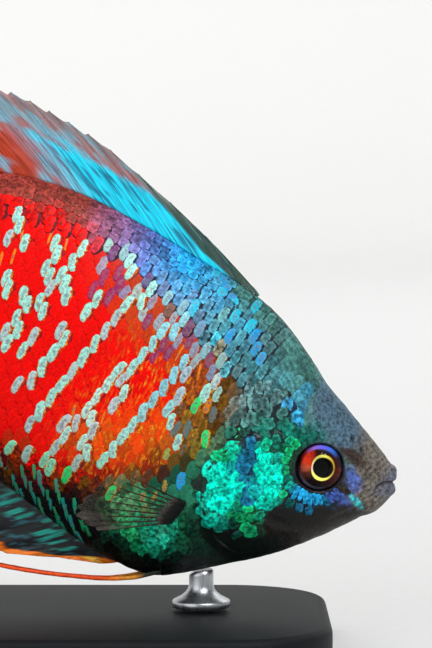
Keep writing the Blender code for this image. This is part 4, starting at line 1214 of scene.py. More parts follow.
def flank_places():
    """Places of the flank's scales, in columns that lean forward as they climb, and of the pebbles along
    the base of the back fin. With each go its length and height against the usual ones."""
    settings = bpy.context.scene.gourami_scales
    turns = np.linspace(0, math.pi, 361)
    found, start, column = [], SCALES_START - 20 * ROW_LEAN, 0
    while start < BODY_LENGTH + 8 * ROW_LEAN:
        at = 0.9 if column % 2 else 0.0
        while at < 30.0:
            u = start + ROW_LEAN * (at - 8.0)
            closer = np.interp(u, (10, 17, 24, 30, 48, 65), (0.76, 0.87, 0.86, 0.92, 0.84, 0.62))
            pitch = settings.row / MM * float(closer)
            band = np.interp(u, (16.0, 19.5), (0.4, BACK_BAND_ROWS[-1] + 0.05))
            if SCALES_START < u < BODY_LENGTH - 0.3 and at > band:
                arc = arc_down(u, turns)
                if at < arc[-1] - 0.1:
                    turn = float(np.interp(at, arc, turns))
                    size = (column_pitch(u) / COLUMN_PITCH, 1.1 * pitch / ROW_PITCH)
                    found.append((u, turn, *size, *FLANK_WINDOW))
            at += pitch
        start += column_pitch(max(start, SCALES_START))
        column += 1
    for k, depth in enumerate(BACK_BAND_ROWS):
        step = 0.70 + 0.07 * k
        u = 16.8 + 0.6 * k + (k % 2) * step / 2
        while u < BODY_LENGTH - 0.3:
            turn = float(np.interp(depth, arc_down(u, turns), turns))
            found.append((u, turn, (step + 0.12) / 0.9, (0.42 + 0.055 * k) / 0.95, *PEBBLE_WINDOW))
            u += step * float(np.interp(u, (17, 40, 65), (1.1, 1.0, 0.8)))
    u, turn, long, high, *window = np.array(found).T
    v = surface(u, turn)[:, 2]
    clear = (gill_oval(u, v) > 1.05) & ((v > 3.0) | (u > 15.5)) & (from_eye(u, v) > 3.2)
    return [row[clear] for row in (u, turn, long, high, *window, 0 * u, 0 * u)]


def head_places(rng):
    """Places of the scales of the head: narrow ones round the eye, and loose rows behind, of uneven size.
    With each go its length, its height, its window, 1 for the head, and the way it points."""
    found = []
    rings = ((2.86, -156, -48, 13, 0.96, 0.27, RING_WINDOW), (3.75, -96, -55, 4, 1.02, 0.5, HEAD_WINDOW),
             (2.74, -38, 72, 8, 0.95, 0.54, HEAD_WINDOW), (3.4, -34, 64, 8, 1.0, 0.6, HEAD_WINDOW))
    for radius, first, last, count, long, high, window in rings:
        for turn in np.radians(np.linspace(first, last, count)):
            away = radius + rng.uniform(-0.1, 0.1)
            u, v = EYE_PLACE[0] + away * math.cos(turn), EYE_PLACE[1] + away * math.sin(turn)
            size = (long * rng.uniform(0.9, 1.15), high * rng.uniform(0.85, 1.05))
            found.append((u, v, *size, *window, turn + rng.normal(0, 0.1)))
    for j, v in enumerate(np.arange(-11.5, 4.6, 0.8)):
        for u in np.arange(7.0 + (j % 2) * 0.44, 17.4, 0.86):
            a, b = u + rng.uniform(-0.24, 0.24), v + rng.uniform(-0.22, 0.22)
            size = rng.uniform(0.85, 1.35)
            behind = -1.2 * (a - EYE_PLACE[0]) < b - EYE_PLACE[1] < 0.9 * (a - EYE_PLACE[0])
            if from_eye(a, b) > (3.9 if behind else 4.3):
                slim = rng.uniform(1.0, 1.35) if b > -1.2 else rng.uniform(0.8, 1.15)
                lie = math.radians(rng.normal(-14, 26))
                found.append((a, b, 1.1 * size / slim, 0.6 * size * slim, *HEAD_WINDOW, lie))
    u, v, long, high, *window, lie = np.array(found).T
    over_cover = gill_oval(u, v) < 0.95
    brow = (v > -1.0) & (v < 4.2) & (u > 9.8) & (u < 16.2) & (v < 0.33 * u) & (gill_oval(u, v) > 1.05)
    off_eye = from_eye(u, v)
    ringed = off_eye < 4.3
    coloured = ground_colour(u, v).max(axis=1) > 0.05
    keep = (off_eye < 3.3) | ((ringed | over_cover | brow) & coloured)
    keep &= (v > belly(u) + 1.6) & ((v > -6.6) | (u > 10.2) | ringed)
    return [row[keep] for row in (u, turn_at(u, v), long, high, *window, 0 * u + 1, lie)]


def chain_marks(u, v, rng):
    """For each scale: how strongly it is marked, the colour of its mark and how small the mark is, and
    whether it is an amber end of a chain or part of the green sheath at the belly fin's base."""
    c, skin = bpy.context.scene.gourami_scales, bpy.context.scene.gourami_skin
    marked, colour = np.zeros(len(u)), filled(u.shape, c.aqua)
    bulk = rng.uniform(0.86, 1.1, len(u))
    colour = mix(colour, c.milk, 0.7 * oval(u, v, *PALE_CLUSTER, 0, 0.5))
    colour = mix(colour, skin.sky, 0.35 * oval(u, v, (22.4, 3.0), (2.2, 5.0), 0, 0.5))
    colour = mix(colour, c.leaf, 0.35 * ramp(v, -5.5, -9.5))
    tips = np.zeros(len(u), bool)
    wide = 0.43 + 0.12 * oval(u, v, (27.0, -5.0), (1.2, 3.4), 0, 0.5)
    for path in aqua_chains():
        away, share = off_path(u, v, path)
        marked = np.maximum(marked, away < wide)
        tips |= (away > wide) & (away < 1.3) & (share < 0.02)
    # A fifth of the chains' scales are duller, and single dots are blue or green
    pale = (marked > 0) & (rng.random(len(u)) < 0.2)
    colour[pale] = mix(colour[pale], MAUVE, np.full(pale.sum(), 0.5))
    for place in BLUE_DOTS:
        dot = np.hypot(u - place[0], v - place[1]) < 0.42
        marked, colour[dot] = np.maximum(marked, 0.8 * dot), skin.sky
    for place in GREEN_DOTS:
        dot = np.hypot(u - place[0], v - place[1]) < 0.55
        marked, colour[dot] = np.maximum(marked, dot), c.leaf
    line, free = above_shoulder_line(u, v), rng.random(len(u))
    plain = (marked == 0) & (u > 17)
    # Amber scales at the ends of the chains
    amber = plain & tips & (u > 19) & (v > -9) & (line < -1.5) & (rng.random(len(u)) < 0.45)
    gold = filled([amber.sum()], c.amber)
    colour[amber], marked[amber], bulk[amber] = mix(gold, YOLK, rng.uniform(0, 0.4, amber.sum())), 0.75, 1.0
    # Purple scales below the shoulder's edge, and hazy violet to aqua ones on it
    dusky = plain & (line > -4.4) & (line < 0.4) & (u > 18) & (u < 31) & (free < 0.3)
    purple = filled([dusky.sum()], c.magenta)
    colour[dusky], marked[dusky] = mix(purple, skin.pink, rng.uniform(0.0, 0.6, dusky.sum())) * 0.6, 0.7
    misty = plain & (line > -2.2) & (line < 1.2) & (u > 17.5) & (u < 31) & (free > 0.62)
    hazy = filled([misty.sum()], skin.violet)
    colour[misty], marked[misty] = mix(hazy, c.aqua, rng.uniform(0.2, 1.0, misty.sum())), 0.75
    # Small amber to green flecks low on the front of the flank
    fleck = plain & (marked == 0) & (v < 0) & (free < np.where(u < 19.5, 0.24, 0.13))
    fleck &= ((u < 25) & (v > -8.5)) | ((u < 33) & (v < -7.5) & (v - belly(u) > 5.0))
    colour[fleck] = mix(filled([fleck.sum()], c.amber), c.leaf, rng.uniform(0, 1, fleck.sum()))
    marked[fleck], bulk[fleck] = 0.7, rng.uniform(1.4, 2.2, fleck.sum())
    # Mixed green, grey and brown scrub behind the gill cover
    scrub = plain & (marked == 0) & (oval(u, v, *SCRUB_PATCH) > 0.5) & (free < 0.5) & (line < -0.6)
    greens = np.array([c.leaf, c.aqua, skin.slate, skin.brown, c.amber])
    colour[scrub] = greens[rng.choice(5, scrub.sum(), p=(0.14, 0.2, 0.2, 0.36, 0.1))]
    marked[scrub], bulk[scrub] = 0.75, rng.uniform(1.0, 1.5, scrub.sum())
    # The green sheath along the base of the belly fin
    low = (v - belly(u) < 3.4) & (u > 22)
    dense = np.interp(u, (23.6, 24.6, 31.5, 33.0, 65), (0.0, 0.95, 0.95, 0.16, 0.12))
    sheath = low & (rng.random(len(u)) < dense) & (v - belly(u) > 0.2)
    teal = filled([sheath.sum()], skin.lagoon)
    colour[sheath] = mix(teal, skin.emerald, rng.uniform(0.6, 1.0, sheath.sum()))
    marked[low] = (rng.uniform(0.75, 1.0, len(u)) * sheath)[low]
    bulk[low] = rng.uniform(1.0, 1.25, low.sum())
    return marked, colour, bulk, amber, sheath


def scale_facts(u, turn, long, high, centre, reach, height, on_head, lean):
    """Everything that the scales of one side need: place, direction, size, colours and finish."""
    c, s = bpy.context.scene.gourami_skin, bpy.context.scene.gourami_scales
    rng = np.random.default_rng(s.seed + 1)
    spots = surface(u, turn)
    v = spots[:, 2]
    tint = ground_colour(u, v)
    line = above_shoulder_line(u, v)
    back_depth = back(u) - v
    shoulder = np.maximum(ramp(line, -0.4, 0.4), ramp(back_depth, 4.4, 3.2) * (u > 24)) * (1 - on_head)
    red = (1 - shoulder) * ramp(v, -11.5, -9.0) * (u > 17) * (1 - on_head)
    rear_lobe = oval(u, v, (14.3, -5.2), (1.6, 3.6), 12, 0.2)
    lobes = np.maximum(rear_lobe, oval(u, v, (10.8, -3.6), (1.1, 2.6), 16, 0.2)) * on_head
    off_eye = from_eye(u, v)
    even = np.maximum(lobes, 0.7 * (off_eye < 3.3))
    patchy = rng.uniform(0.45, 1.5, len(u)) * (1 - even) + rng.uniform(0.8, 1.25, len(u)) * even
    shade = rng.uniform(0.6, 1.25, len(u)) * (1 - red) + rng.uniform(0.93, 1.05, len(u)) * red
    # Shoulder scales wander in hue between violet, blue, cyan and pale
    hues = np.array([c.violet, c.sky, c.lagoon, s.flash, s.aqua])
    wander = hues[rng.choice(5, len(u), p=(0.26, 0.26, 0.18, 0.16, 0.14))]
    blend = rng.uniform(0.0, 0.6, len(u)) * (shoulder > 0.8) * ramp(u, 33, 26)
    blend = blend * ramp(u, 16.5, 19.0) * ramp(back_depth, 1.6, 3.4)
    cool = tint[:, 2] > 0.5 * tint[:, 0]
    tint = mix(tint, wander, blend * cool)
    dusty = shoulder * ramp(u, 28, 25) * ramp(back_depth, 1.6, 4.4) * rng.uniform(0.45, 1.0, len(u))
    grey = mix(filled(u.shape, DUSTY_TEAL), DUSTY_BLUE, ramp(u, 19.0, 23.5))
    tint = mix(tint, grey, dusty * cool)
    tint = mix(tint, WARM_GREY, 0.9 * ramp(shoulder, 0.1, 0.5) * ~cool * ramp(u, 31, 28))
    rusty = np.random.default_rng(s.seed + 2).uniform(-0.4, 1.0, len(u)) * shoulder
    rusty = np.clip(rusty, 0, 1) * oval(u, v, (19.2, 4.2), (2.6, 2.2), -28, 0.6)
    tint = mix(tint, RUSTY_BROWN, rusty)
    # Scattered green scales on the gill cover, but none on its turquoise lobes or in its blue valley
    valley = oval(u, v, (12.6, -3.4), (1.0, 3.0), 16, 0.2) > 0.5
    green = (on_head > 0) & (rng.random(len(u)) < 0.2) & (lobes < 0.3) & (v < 0) & (u > 7.5) & ~valley
    tint[green] = mix(tint[green], c.emerald, rng.uniform(0.2, 0.8, green.sum()))
    tint = np.clip(tint * np.where(on_head > 0, patchy, shade)[:, None], 0, 0.92)
    marked, mark, bulk, amber, sheath = chain_marks(u, v, rng)
    marked = marked * (1 - on_head) * (u > 16.8) * (line < 1.6)
    # Scattered bright blue scales in the shoulder, half of them cyan: the blue is their colour, the cyan
    # flash is a painted glint
    lit = (marked == 0) & (rng.random(len(u)) < 0.24 * shoulder * ramp(u, 27, 19) * ramp(u, 14.5, 16.5))
    mark[lit], marked[lit] = c.sky, 0.7
    bright = lit & (rng.random(len(u)) < 0.5)
    mark[bright] = s.flash
    lower = (on_head == 0) & (v - belly(u) < 3.4) & (u > 22)
    gleam = 0.15 * np.maximum(marked, 0.6 * shoulder)
    # How dark a scale's outline is, how strong its orange licks or halo are, and how mottled it is; the
    # mottle's brightest blotches are painted highlights
    rim = 0.1 * red + 0.95 * shoulder * ramp(u, 13, 15) + 0.35 * ramp(v, -9.5, -11.5) + 0.15 * shoulder
    front = np.clip(0.35 + ramp(u, 9.8, 12.0) + (v < 0), 0, 1)
    rim = np.where(on_head > 0, (0.92 - 0.5 * lobes) * front,
                   np.clip(np.maximum(rim, 0.2 * (u < 16)), 0, 0.95))
    scrub = oval(u, v, *SCRUB_PATCH) * (1 - on_head)
    rim = np.maximum(rim, 0.6 * scrub)
    chained = (marked > 0.95) & (red > 0.3)
    rim = np.where(chained, 0.7, rim) * ~amber
    above_belly = v - np.interp(u, *zip(*RED_LOWER_EDGE))
    upper = 0.8 * oval(u, v, (23.0, 2.0), (3.6, 5.0), 0, 0.8)
    glow = np.maximum(oval(u, v, (22.5, -5.0), (5.8, 4.8), 0, 0.7), upper) * red * (marked == 0)
    glow = glow * ramp(above_belly, 0.2 - 1.6 * (u > 21.5), 1.6) * ramp(line, -1.0, -2.5)
    glow = glow * rng.uniform(0.35, 1.0, len(u))
    bright_ends = (rng.random(len(u)) < 0.3) | (oval(u, v, *PALE_CLUSTER, 0, 0.3) > 0.5)
    halo = np.where(chained, np.where(bright_ends, 1.0, 0.85), glow)
    mottle = np.where(on_head > 0, 0.85, 0.6 * shoulder + 0.5 * scrub + 0.95 * ramp(v, -8.0, -9.5))
    # The way each scale points, and how high it stands
    upright = np.radians(rng.normal(-6, 7, len(u)) * red - rng.normal(38, 6, len(u)) * lower)
    lie_angle = np.where(on_head > 0, lean, upright)
    normal, rearward = outward(u, turn)
    upward = unit(np.cross(normal, rearward))
    upward = upward * np.where(upward[:, 2:] < 0, -1, 1)
    lie = rearward * np.cos(lie_angle)[:, None] + upward * np.sin(lie_angle)[:, None]
    soft_edge = ramp(u, 9.8, 12.0) + (v < -1.0) + (off_eye < 4.3)
    nape = ramp(back_depth, 3.2, 1.8) * ramp(u, 20.3, 18.6)
    stature = np.where(on_head > 0, rng.uniform(0.4, 0.85, len(u)) * np.clip(soft_edge, 0.3, 1),
                       (0.4 + 0.35 * shoulder + 0.25 * chained) * np.clip(ramp(u, 10.0, 17.0), 0.4, 1))
    stature = stature * (1 - 0.6 * nape)
    reach = np.where(amber, rng.uniform(0.07, 0.12, len(u)), np.where(sheath, 0.62, 1.0) * reach)
    height = np.where(amber, rng.uniform(0.26, 0.42, len(u)), height)
    return {
        "spots": spots, "lie": lie, "out": normal, "size": np.stack([long, high, stature], -1),
        "tint": np.concatenate([tint, halo[:, None]], 1), "mark": np.concatenate([mark, bulk[:, None]], 1),
        "finish": np.stack([rim * (1 - 0.2 * nape), marked, gleam], -1), "mottle": np.clip(mottle, 0, 1),
        "window": np.stack([centre, reach, height], -1), "turn": turn, "u": u,
    }


def lay_side(name, facts, side, plate, skin, tree, material):
    """One piece of scales on one side of the body."""
    s = bpy.context.scene.gourami_scales
    flip = np.array([1.0, side, 1.0])
    aside = swing(facts["u"])
    spots = (facts["spots"] - np.stack([0 * aside, aside, 0 * aside], -1)) * flip
    spots[:, 1] += aside
    around = facts["turn"] / (2 * math.pi)
    around = around if side > 0 else 1 - around
    unwrap = np.stack([0.01 + 0.97 * facts["u"] / UNWRAP_LENGTH, 0.01 + 0.97 * around, 0 * around], -1)
    told = {key: facts[key] for key in ("size", "tint", "mark", "finish", "window", "mottle")}
    cloud = mesh_object(name, placed(spots), [], attributes={
        "lie": turned(facts["lie"] * flip), "out": turned(facts["out"] * flip), "spot": unwrap, **told,
    })
    grown(cloud, tree, plate=plate, skin=skin, length=0.98 * MM, half_height=0.95 * MM, lift=s.lift,
          variation=s.variation, patch=BAKE_PATCH, seed=s.seed, material=material)
    if not cloud.data.polygons:
        raise RuntimeError(f"{name} has no scales")
    for key in ("lie", "out", "size", "spot", "rise"):
        cloud.data.attributes.remove(cloud.data.attributes[key])
    cloud.data.uv_layers.active = cloud.data.uv_layers["OFBake"]
    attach(cloud, "root")


class GOURAMI_OT_scales(bpy.types.Operator):
    """Lays the scales of flank, shoulder, cheek and gill cover over the skin"""

    bl_idname = "gourami.scales"
    bl_label = "Scales"

    def execute(self, context):
        plate, tree, material = plate_template(), scale_tree(), scale_plate()
        skin = bpy.data.objects["skin"]
        rng = np.random.default_rng(context.scene.gourami_scales.seed)
        places = [np.concatenate(rows) for rows in zip(flank_places(), head_places(rng))]
        facts = scale_facts(*places)
        for side, word in ((1, "left"), (-1, "right")):
            lay_side(f"scales_{word}", facts, side, plate, skin, tree, material)
        bpy.data.objects.remove(plate)
        return {"FINISHED"}


def sheet(name, spots, half, shares, tint, veil, material, slot):
    """A thin closed web round a grid of points in the fish's frame."""
    columns, rows = spots.shape[:2]
    normal = unit(np.cross(np.gradient(spots, axis=0), np.gradient(spots, axis=1)))
    points = np.concatenate([(spots + side * normal * half[..., None]).reshape(-1, 3) for side in (1, -1)])
    count = columns * rows
    faces = []
    for side in (0, 1):
        for i in range(columns - 1):
            for j in range(rows - 1):
                a = side * count + i * rows + j
                faces.append((a, a + rows, a + rows + 1, a + 1))
    rim = [i * rows for i in range(columns)] + [(columns - 1) * rows + j for j in range(1, rows)]
    rim += [i * rows + rows - 1 for i in range(columns - 2, -1, -1)] + list(range(rows - 2, 0, -1))
    for a, b in zip(rim, rim[1:] + rim[:1]):
        faces.append((a, b, b + count, a + count))
    told = {"tint": np.concatenate([tint.reshape(-1, 3)] * 2), "veil": np.concatenate([veil.ravel()] * 2)}
    obj = mesh_object(name, placed(points), faces, material, told)
    map_uv(obj.data, "FinUV", np.concatenate([shares.reshape(-1, 2)] * 2))
    face_outwards(obj.data)
    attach(obj, "root")
    return obj


def draw_rays(name, lines, tree, material, radius, sides=8):
    """Rays from lines: each is (points in the fish's frame, thickness shares, colours)."""
    points, edges, thick, tint, flow = [], [], [], [], []
    for spots, widths, colours in lines:
        start = len(points)
        points += list(placed(spots))
        edges += [(start + k, start + k + 1) for k in range(len(spots) - 1)]
        thick += list(widths)
        tint += list(colours)
        steps = np.linalg.norm(np.diff(spots, axis=0), axis=1)
        flow += list(np.concatenate([[0], np.cumsum(steps)]))
    obj = mesh_object(name, points, [], edges=edges,
                      attributes={"thick": thick, "tint": tint, "flow": flow})
    grown(obj, tree, radius=radius, sides=sides, material=material)
    if not obj.data.polygons:
        raise RuntimeError(f"{name} has no rays")
    obj.data.attributes.remove(obj.data.attributes["thick"])
    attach(obj, "root")
    return obj


def fan(count, reach, colour, forks, per_gap=8, rows=36, ripple=0.12, notch=0.05, web=0.055, root_half=0.3):
    """The web's grid and the rays' lines of a fin. reach(share, out) gives points for arrays of shares
    along its base and of distances out; colour(share, out, on_ray) gives the colours and the veil."""
    columns = (count - 1) * per_gap + 1
    share, out = np.meshgrid(np.linspace(0, 1, columns), np.linspace(0, 1, rows + 1), indexing="ij")
    phase = share * (count - 1)
    between = np.sin(math.pi * (phase % 1.0)) ** 2
    ragged = notch * between * (1 + 0.5 * clouds(phase, 0 * phase, 0.8, 31))
    spots = reach(share, out * (1 - ragged))
    spots[..., 1] += ripple * between * out * np.where(np.floor(phase) % 2, 1, -1)
    spots[..., 1] += 0.25 * ripple * clouds(phase, out * 6, 1.3, 33) * out
    half = web + (root_half - web) * (1 - out) ** 3
    half[:, -1] = web * 0.4
    lines = []
    for k in range(count):
        at = k / (count - 1)
        for trail in forks(at, 1 / (count - 1)):
            outs = trail[:, 1]
            spots_on = reach(np.clip(trail[:, 0], 0, 1), outs)
            widths = (1 - 0.72 * outs) * trail[:, 2]
            lines.append((spots_on, widths, colour(np.clip(trail[:, 0], 0, 1), outs, True)[0]))
    tint, veil = colour(share, out, False)
    return spots, half, np.stack([phase, out], -1), tint, veil, lines


def spine(at, step):
    """An unbranched ray, whatever the step to the next one."""
    outs = np.linspace(0, 1.01, 16)
    return [np.stack([np.full(16, at), outs, np.ones(16)], -1)]


def soft_ray(at, step):
    """A ray that forks at half its length, and again near its tip."""
    trails = [np.stack([np.full(8, at), np.linspace(0, 0.45, 8), np.ones(8)], -1)]
    for side in (-1, 1):
        first = np.linspace(0.42, 0.74, 6)
        spread = side * 0.2 * step * ramp(first, 0.42, 0.74)
        trails.append(np.stack([at + spread, first, np.full(6, 0.75)], -1))
        for twig in (-1, 1):
            last = np.linspace(0.72, 1.0, 6)
            apart = side * 0.2 * step + (side * 0.07 + twig * 0.11) * step * ramp(last, 0.72, 1.0)
            trails.append(np.stack([at + apart, last, np.full(6, 0.6)], -1))
    return trails


def unpaired(base, lengths, leans, edge, side):
    """The reach of a fin on the back (side 1) or the belly (side -1), rooted a little inside the body."""
    ray_length, ray_lean = smooth(lengths), smooth(leans)

    def reach(share, out):
        x = base[0] + share * (base[1] - base[0])
        angle = np.radians(ray_lean(x) - RAY_CURL_DEG * out / 2)
        far = ray_length(x) * out - 0.5 * (1 - out) ** 4
        tip = x + far * np.cos(angle)
        return np.stack([tip, swing(tip), edge(x) + side * (0.1 + far * np.sin(angle))], -1)

    return reach


def tail_reach(share, out):
    """The reach of the tail fin: a rounded fan behind the tail stalk."""
    top, bottom = float(back(BODY_LENGTH)) - 0.35, float(belly(BODY_LENGTH)) + 0.35
    angle = np.radians(TAIL_FIN_SPREAD_DEG * (1 - 2 * share) * (1 - TAIL_FIN_CURL * out))
    far = TAIL_FIN_LENGTH * (1 - (1 - TAIL_FIN_CORNER_SHARE) * np.abs(1 - 2 * share) ** 3) * out
    far = far + 0.3 - 1.0 * (1 - out) ** 4
    x = BODY_LENGTH + far * np.cos(angle)
    return np.stack([x, swing(x), top + share * (bottom - top) + far * np.sin(angle)], -1)


def pectoral_reach(side):
    """The reach of a side fin: a fan that stands off the flank further back."""
    (x_top, z_top), (x_low, z_low) = PECTORAL_ROOT
    lengths, splay = smooth(PECTORAL_LENGTH), math.radians(PECTORAL_SPLAY_DEG)

    def reach(share, out):
        x, z = x_top + share * (x_low - x_top), z_top + share * (z_low - z_top)
        first, last = PECTORAL_ANGLES_DEG
        angle = np.radians(first + share * (last - first))
        far = lengths(share) * out - 0.5 * (1 - out) ** 3
        across = far * math.cos(splay)
        y = flank(x, z) + PECTORAL_OFF_SKIN * ramp(out, 0.0, 0.12) + far * math.sin(splay)
        return np.stack([x + across * np.cos(angle), side * y, z + across * np.sin(angle)], -1)

    return reach


def late_fork(at, step):
    """A ray that forks once, near its tip."""
    trails = [np.stack([np.full(12, at), np.linspace(0, 0.66, 12), np.ones(12)], -1)]
    for side in (-1, 1):
        last = np.linspace(0.63, 1.0, 8)
        apart = side * 0.2 * step * ramp(last, 0.63, 1.0)
        trails.append(np.stack([at + apart, last, 0.7 - 0.5 * ramp(last, 0.63, 0.9)], -1))
    return trails


def dorsal_colour(share, out, on_ray):
    """Cyan with dark streaks at the base, dark olive in front, and red flecks on the soft rear."""
    c = bpy.context.scene.gourami_fins
    station = DORSAL_BASE[0] + share * (DORSAL_BASE[1] - DORSAL_BASE[0])
    far = smooth(DORSAL_LENGTH)(station) * out
    phase = share * (DORSAL_RAYS - 1)
    tint = filled(np.shape(share), c.cyan)
    streaks = clouds(phase, far * 0.1, 0.16, 41) + 0.6 * clouds(phase, far * 0.3, 0.3, 42)
    tint = mix(tint, c.ink, 0.7 * ramp(streaks, 0.2, 0.6) * (0.3 if on_ray else 1.0))
    front = ramp(station - np.interp(far, (0, 0.6, 1.5, 4.9, 8), (20.5, 21.2, 22.4, 23.2, 24.2)), 0.5, -0.4)
    dark = mix(filled(np.shape(share), c.olive), FIN_FRONT, ramp(streaks, 0.0, 0.5))
    dark = mix(dark, FIN_FRONT_RAYS, 0.8 if on_ray else 0.0 * far)
    flecks = ramp(clouds(phase * 2.2, far, 1.5, 44), 0.05, 0.5)
    soft = mix(filled(np.shape(share), c.ember) * 0.8, c.cyan, 0.5 * flecks)
    soft = mix(soft, c.olive, 0.45 * ramp(out, 0.5, 1.0))
    outer = ramp(far + 0.8 * clouds(phase, far, 0.8, 43), 5.4, 7.6)
    tint = mix(tint, soft, np.maximum(ramp(station, 33, 40), 0.85 * outer))
    tint = mix(tint, c.ember, 0.8 * ramp(station, 31, 38) * ramp(out, 0.93, 0.98))
    tint = mix(tint, dark, front)
    veil = 0.97 - 0.3 * ramp(far, 4.5, 8.0) - 0.12 * front
    return tint, veil


def anal_colour(share, out, on_ray):
    """Blue-black with pale speckles, a green foot and an orange edge with yellow patches, on rays too."""
    c = bpy.context.scene.gourami_fins
    station = ANAL_BASE[0] + share * (ANAL_BASE[1] - ANAL_BASE[0])
    long = smooth(ANAL_LENGTH)(station)
    far, phase = long * out, share * (ANAL_RAYS - 1)
    tint = filled(np.shape(share), c.midnight) * 0.35
    tint = mix(tint, FIN_SPECKLE, 0.6 * ramp(clouds(phase * 3, far * 0.6, 0.4, 51), 0.25, 0.7))
    rear = ramp(station, 33, 42)
    flecks = ramp(clouds(phase * 2.2, far, 1.4, 54), 0.0, 0.5)
    tint = mix(tint, np.array(c.ember) * 0.6, 0.75 * rear * flecks)
    tint = mix(tint, c.cyan, 0.35 * rear * ramp(clouds(phase * 2, far, 1.0, 55), 0.35, 0.8))
    sheath = ramp(station, 23.4, 24.6) * ramp(station, 33.0, 31.0) * ramp(far, 3.0, 2.0)
    speckles = ramp(clouds(phase * 4.0, far * 0.7, 1.2, 56), 0.05, 0.25)
    tint = mix(tint, FIN_FOOT_GREEN, 0.95 * sheath * speckles)
    wide = 1 + 0.9 * ramp(station, 46, 36)
    edge = ramp((1 - out) * long + 0.6 * clouds(phase, 0 * phase, 0.9, 52), wide, 0.72 * wide)
    fringe = mix(filled(np.shape(share), c.margin), c.gold, ramp(clouds(phase, far, 1.2, 53), 0.1, 0.6))
    tint = mix(tint, fringe, edge)
    return tint, 0.98 - 0.12 * out * (1 - edge)


def tail_colour(share, out, on_ray):
    """Smoky red web with rows of blue flecks and a clearer edge."""
    c = bpy.context.scene.gourami_fins
    phase = share * (TAIL_FIN_RAYS - 1)
    tint = filled(np.shape(share), c.ember) * 0.85
    rows = ramp(clouds(phase * 1.6, out * 22, 1.0, 61), 0.0, 0.45)
    tint = mix(tint, c.cyan, 0.5 * rows * (0.5 if on_ray else 1.0))
    tint = mix(tint, c.smoke, 0.5 * ramp(out, 0.75, 1.0))
    veil = 0.9 - 0.4 * ramp(out, 0.2, 1.0)
    return tint, veil


def pectoral_colour(share, out, on_ray):
    """Dark maroon rays, darkest at the root, over a nearly clear web."""
    c = bpy.context.scene.gourami_fins
    tint = filled(np.shape(share), c.wine if on_ray else c.smoke)
    tint = mix(tint, c.smoke, (0.45 if on_ray else 0.0) * ramp(out + 0.5 * share, 1.0, 1.4))
    tint = mix(tint, SIDE_FIN_ROOT, ramp(out, 0.22, 0.1))
    veil = 0.02 + 0.95 * ramp(out, 0.2, 0.1) + 0.09 * ramp(out + 0.9 * share, 1.25, 1.7)
    return tint, veil


class GOURAMI_OT_fins(bpy.types.Operator):
    """Makes the back, belly, tail and side fins, each a web with its rays"""

    bl_idname = "gourami.fins"
    bl_label = "Fins"

    def execute(self, context):
        settings = context.scene.gourami_fins
        tree, web, ray = ray_tree(), fin_web(), fin_ray("fin_ray")
        half = settings.web / MM / 2

        def mixed(at, step):
            return spine(at, step) if at < SPINY_SHARE else soft_ray(at, step)

        dorsal = unpaired(DORSAL_BASE, DORSAL_LENGTH, DORSAL_LEAN, back, 1)
        anal = unpaired(ANAL_BASE, ANAL_LENGTH, ANAL_LEAN, belly, -1)
        plans = [
            ("dorsal_fin", "dorsal_fin", DORSAL_RAYS, dorsal, dorsal_colour, mixed, 1.0),
            ("anal_fin", "anal_fin", ANAL_RAYS, anal, anal_colour, mixed, 0.8),
            ("caudal_fin", "caudal_fin", TAIL_FIN_RAYS, tail_reach, tail_colour, soft_ray, 0.95),
        ]
        for word, side in (("left", 1), ("right", -1)):
            plans.append((f"pectoral_fin_{word}", "pectoral_fin", PECTORAL_RAYS, pectoral_reach(side),
                          pectoral_colour, late_fork, 0.5))
        for name, slot, count, reach, colour, forks, girth in plans:
            *grid, lines = fan(count, reach, colour, forks, web=half)
            piece = sheet(name + "_web", *grid, web, slot)
            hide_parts(name)
            draw_rays(name + "_rays", lines, tree, ray, settings.ray * girth)
        return {"FINISHED"}


class GOURAMI_OT_feelers(bpy.types.Operator):
    """Makes the two long feelers that the pelvic fins are"""

    bl_idname = "gourami.feelers"
    bl_label = "Feelers"

    def execute(self, context):
        settings = context.scene.gourami_fins
        tree, material = ray_tree(), fin_ray("feeler")
        x0, y0 = FEELER_ROOT
        for word, side, trail in (("left", 1, FEELER_LEFT), ("right", -1, FEELER_RIGHT)):
            line = smooth([(x0 - 1.3, -15.0), (x0 + 0.4, -16.15), *trail])
            share = np.linspace(0, 1, 96)
            u = x0 - 1.3 + share * (trail[-1][0] - x0 + 1.3)
            y = side * (y0 + (FEELER_SPREAD - y0) * np.minimum(1.0, 3 * share)) + swing(u)
            path = np.stack([u, y, line(u)], -1)
            widths = 1.0 - 0.55 * share + 0.05 * np.sin(share * 150)
            colours = filled(share.shape, settings.coral)
            colours = mix(colours, settings.honey, 0.6 * ramp(share, 0.14, 0.06))
            colours = mix(colours, FEELER_ROOT_BLACK, ramp(share, 0.06, 0.03))
            girth = settings.feeler * (0.8 if side > 0 else 1.0)
            name, thread = f"pelvic_feeler_{word}", (path, widths, colours)
            piece = draw_rays(name + "_thread", [thread], tree, material, girth, 10)
            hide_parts(name)
        return {"FINISHED"}


def dome(name, centre, side, profile, material):
    """A round closed form about the eye's axis, from (radius, depth) pairs that start and end at 0."""
    count, (x, y, z) = 64, centre
    points = [(x, y + side * profile[0][1], z)]
    for radius, depth in profile[1:-1]:
        for t in np.arange(count) * 2 * math.pi / count:
            points.append((x + radius * math.cos(t), y + side * depth, z + radius * math.sin(t)))
    points.append((x, y + side * profile[-1][1], z))
    last = len(points) - 1
    faces = spun_faces(count, len(profile) - 2)
    faces += [(last, last - count + (k + 1) % count, last - count + k) for k in range(count)]
    obj = mesh_object(name, placed(points), faces, material)
    middle = placed([centre])[0]
    flat = (np.array([tuple(p) for p in placed(points)]) - middle) / (EYE_RADIUS * MM)
    map_uv(obj.data, "IrisUV", np.stack([-flat[:, 0], flat[:, 2]], -1))
    face_outwards(obj.data)
    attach(obj, "root")
    return obj


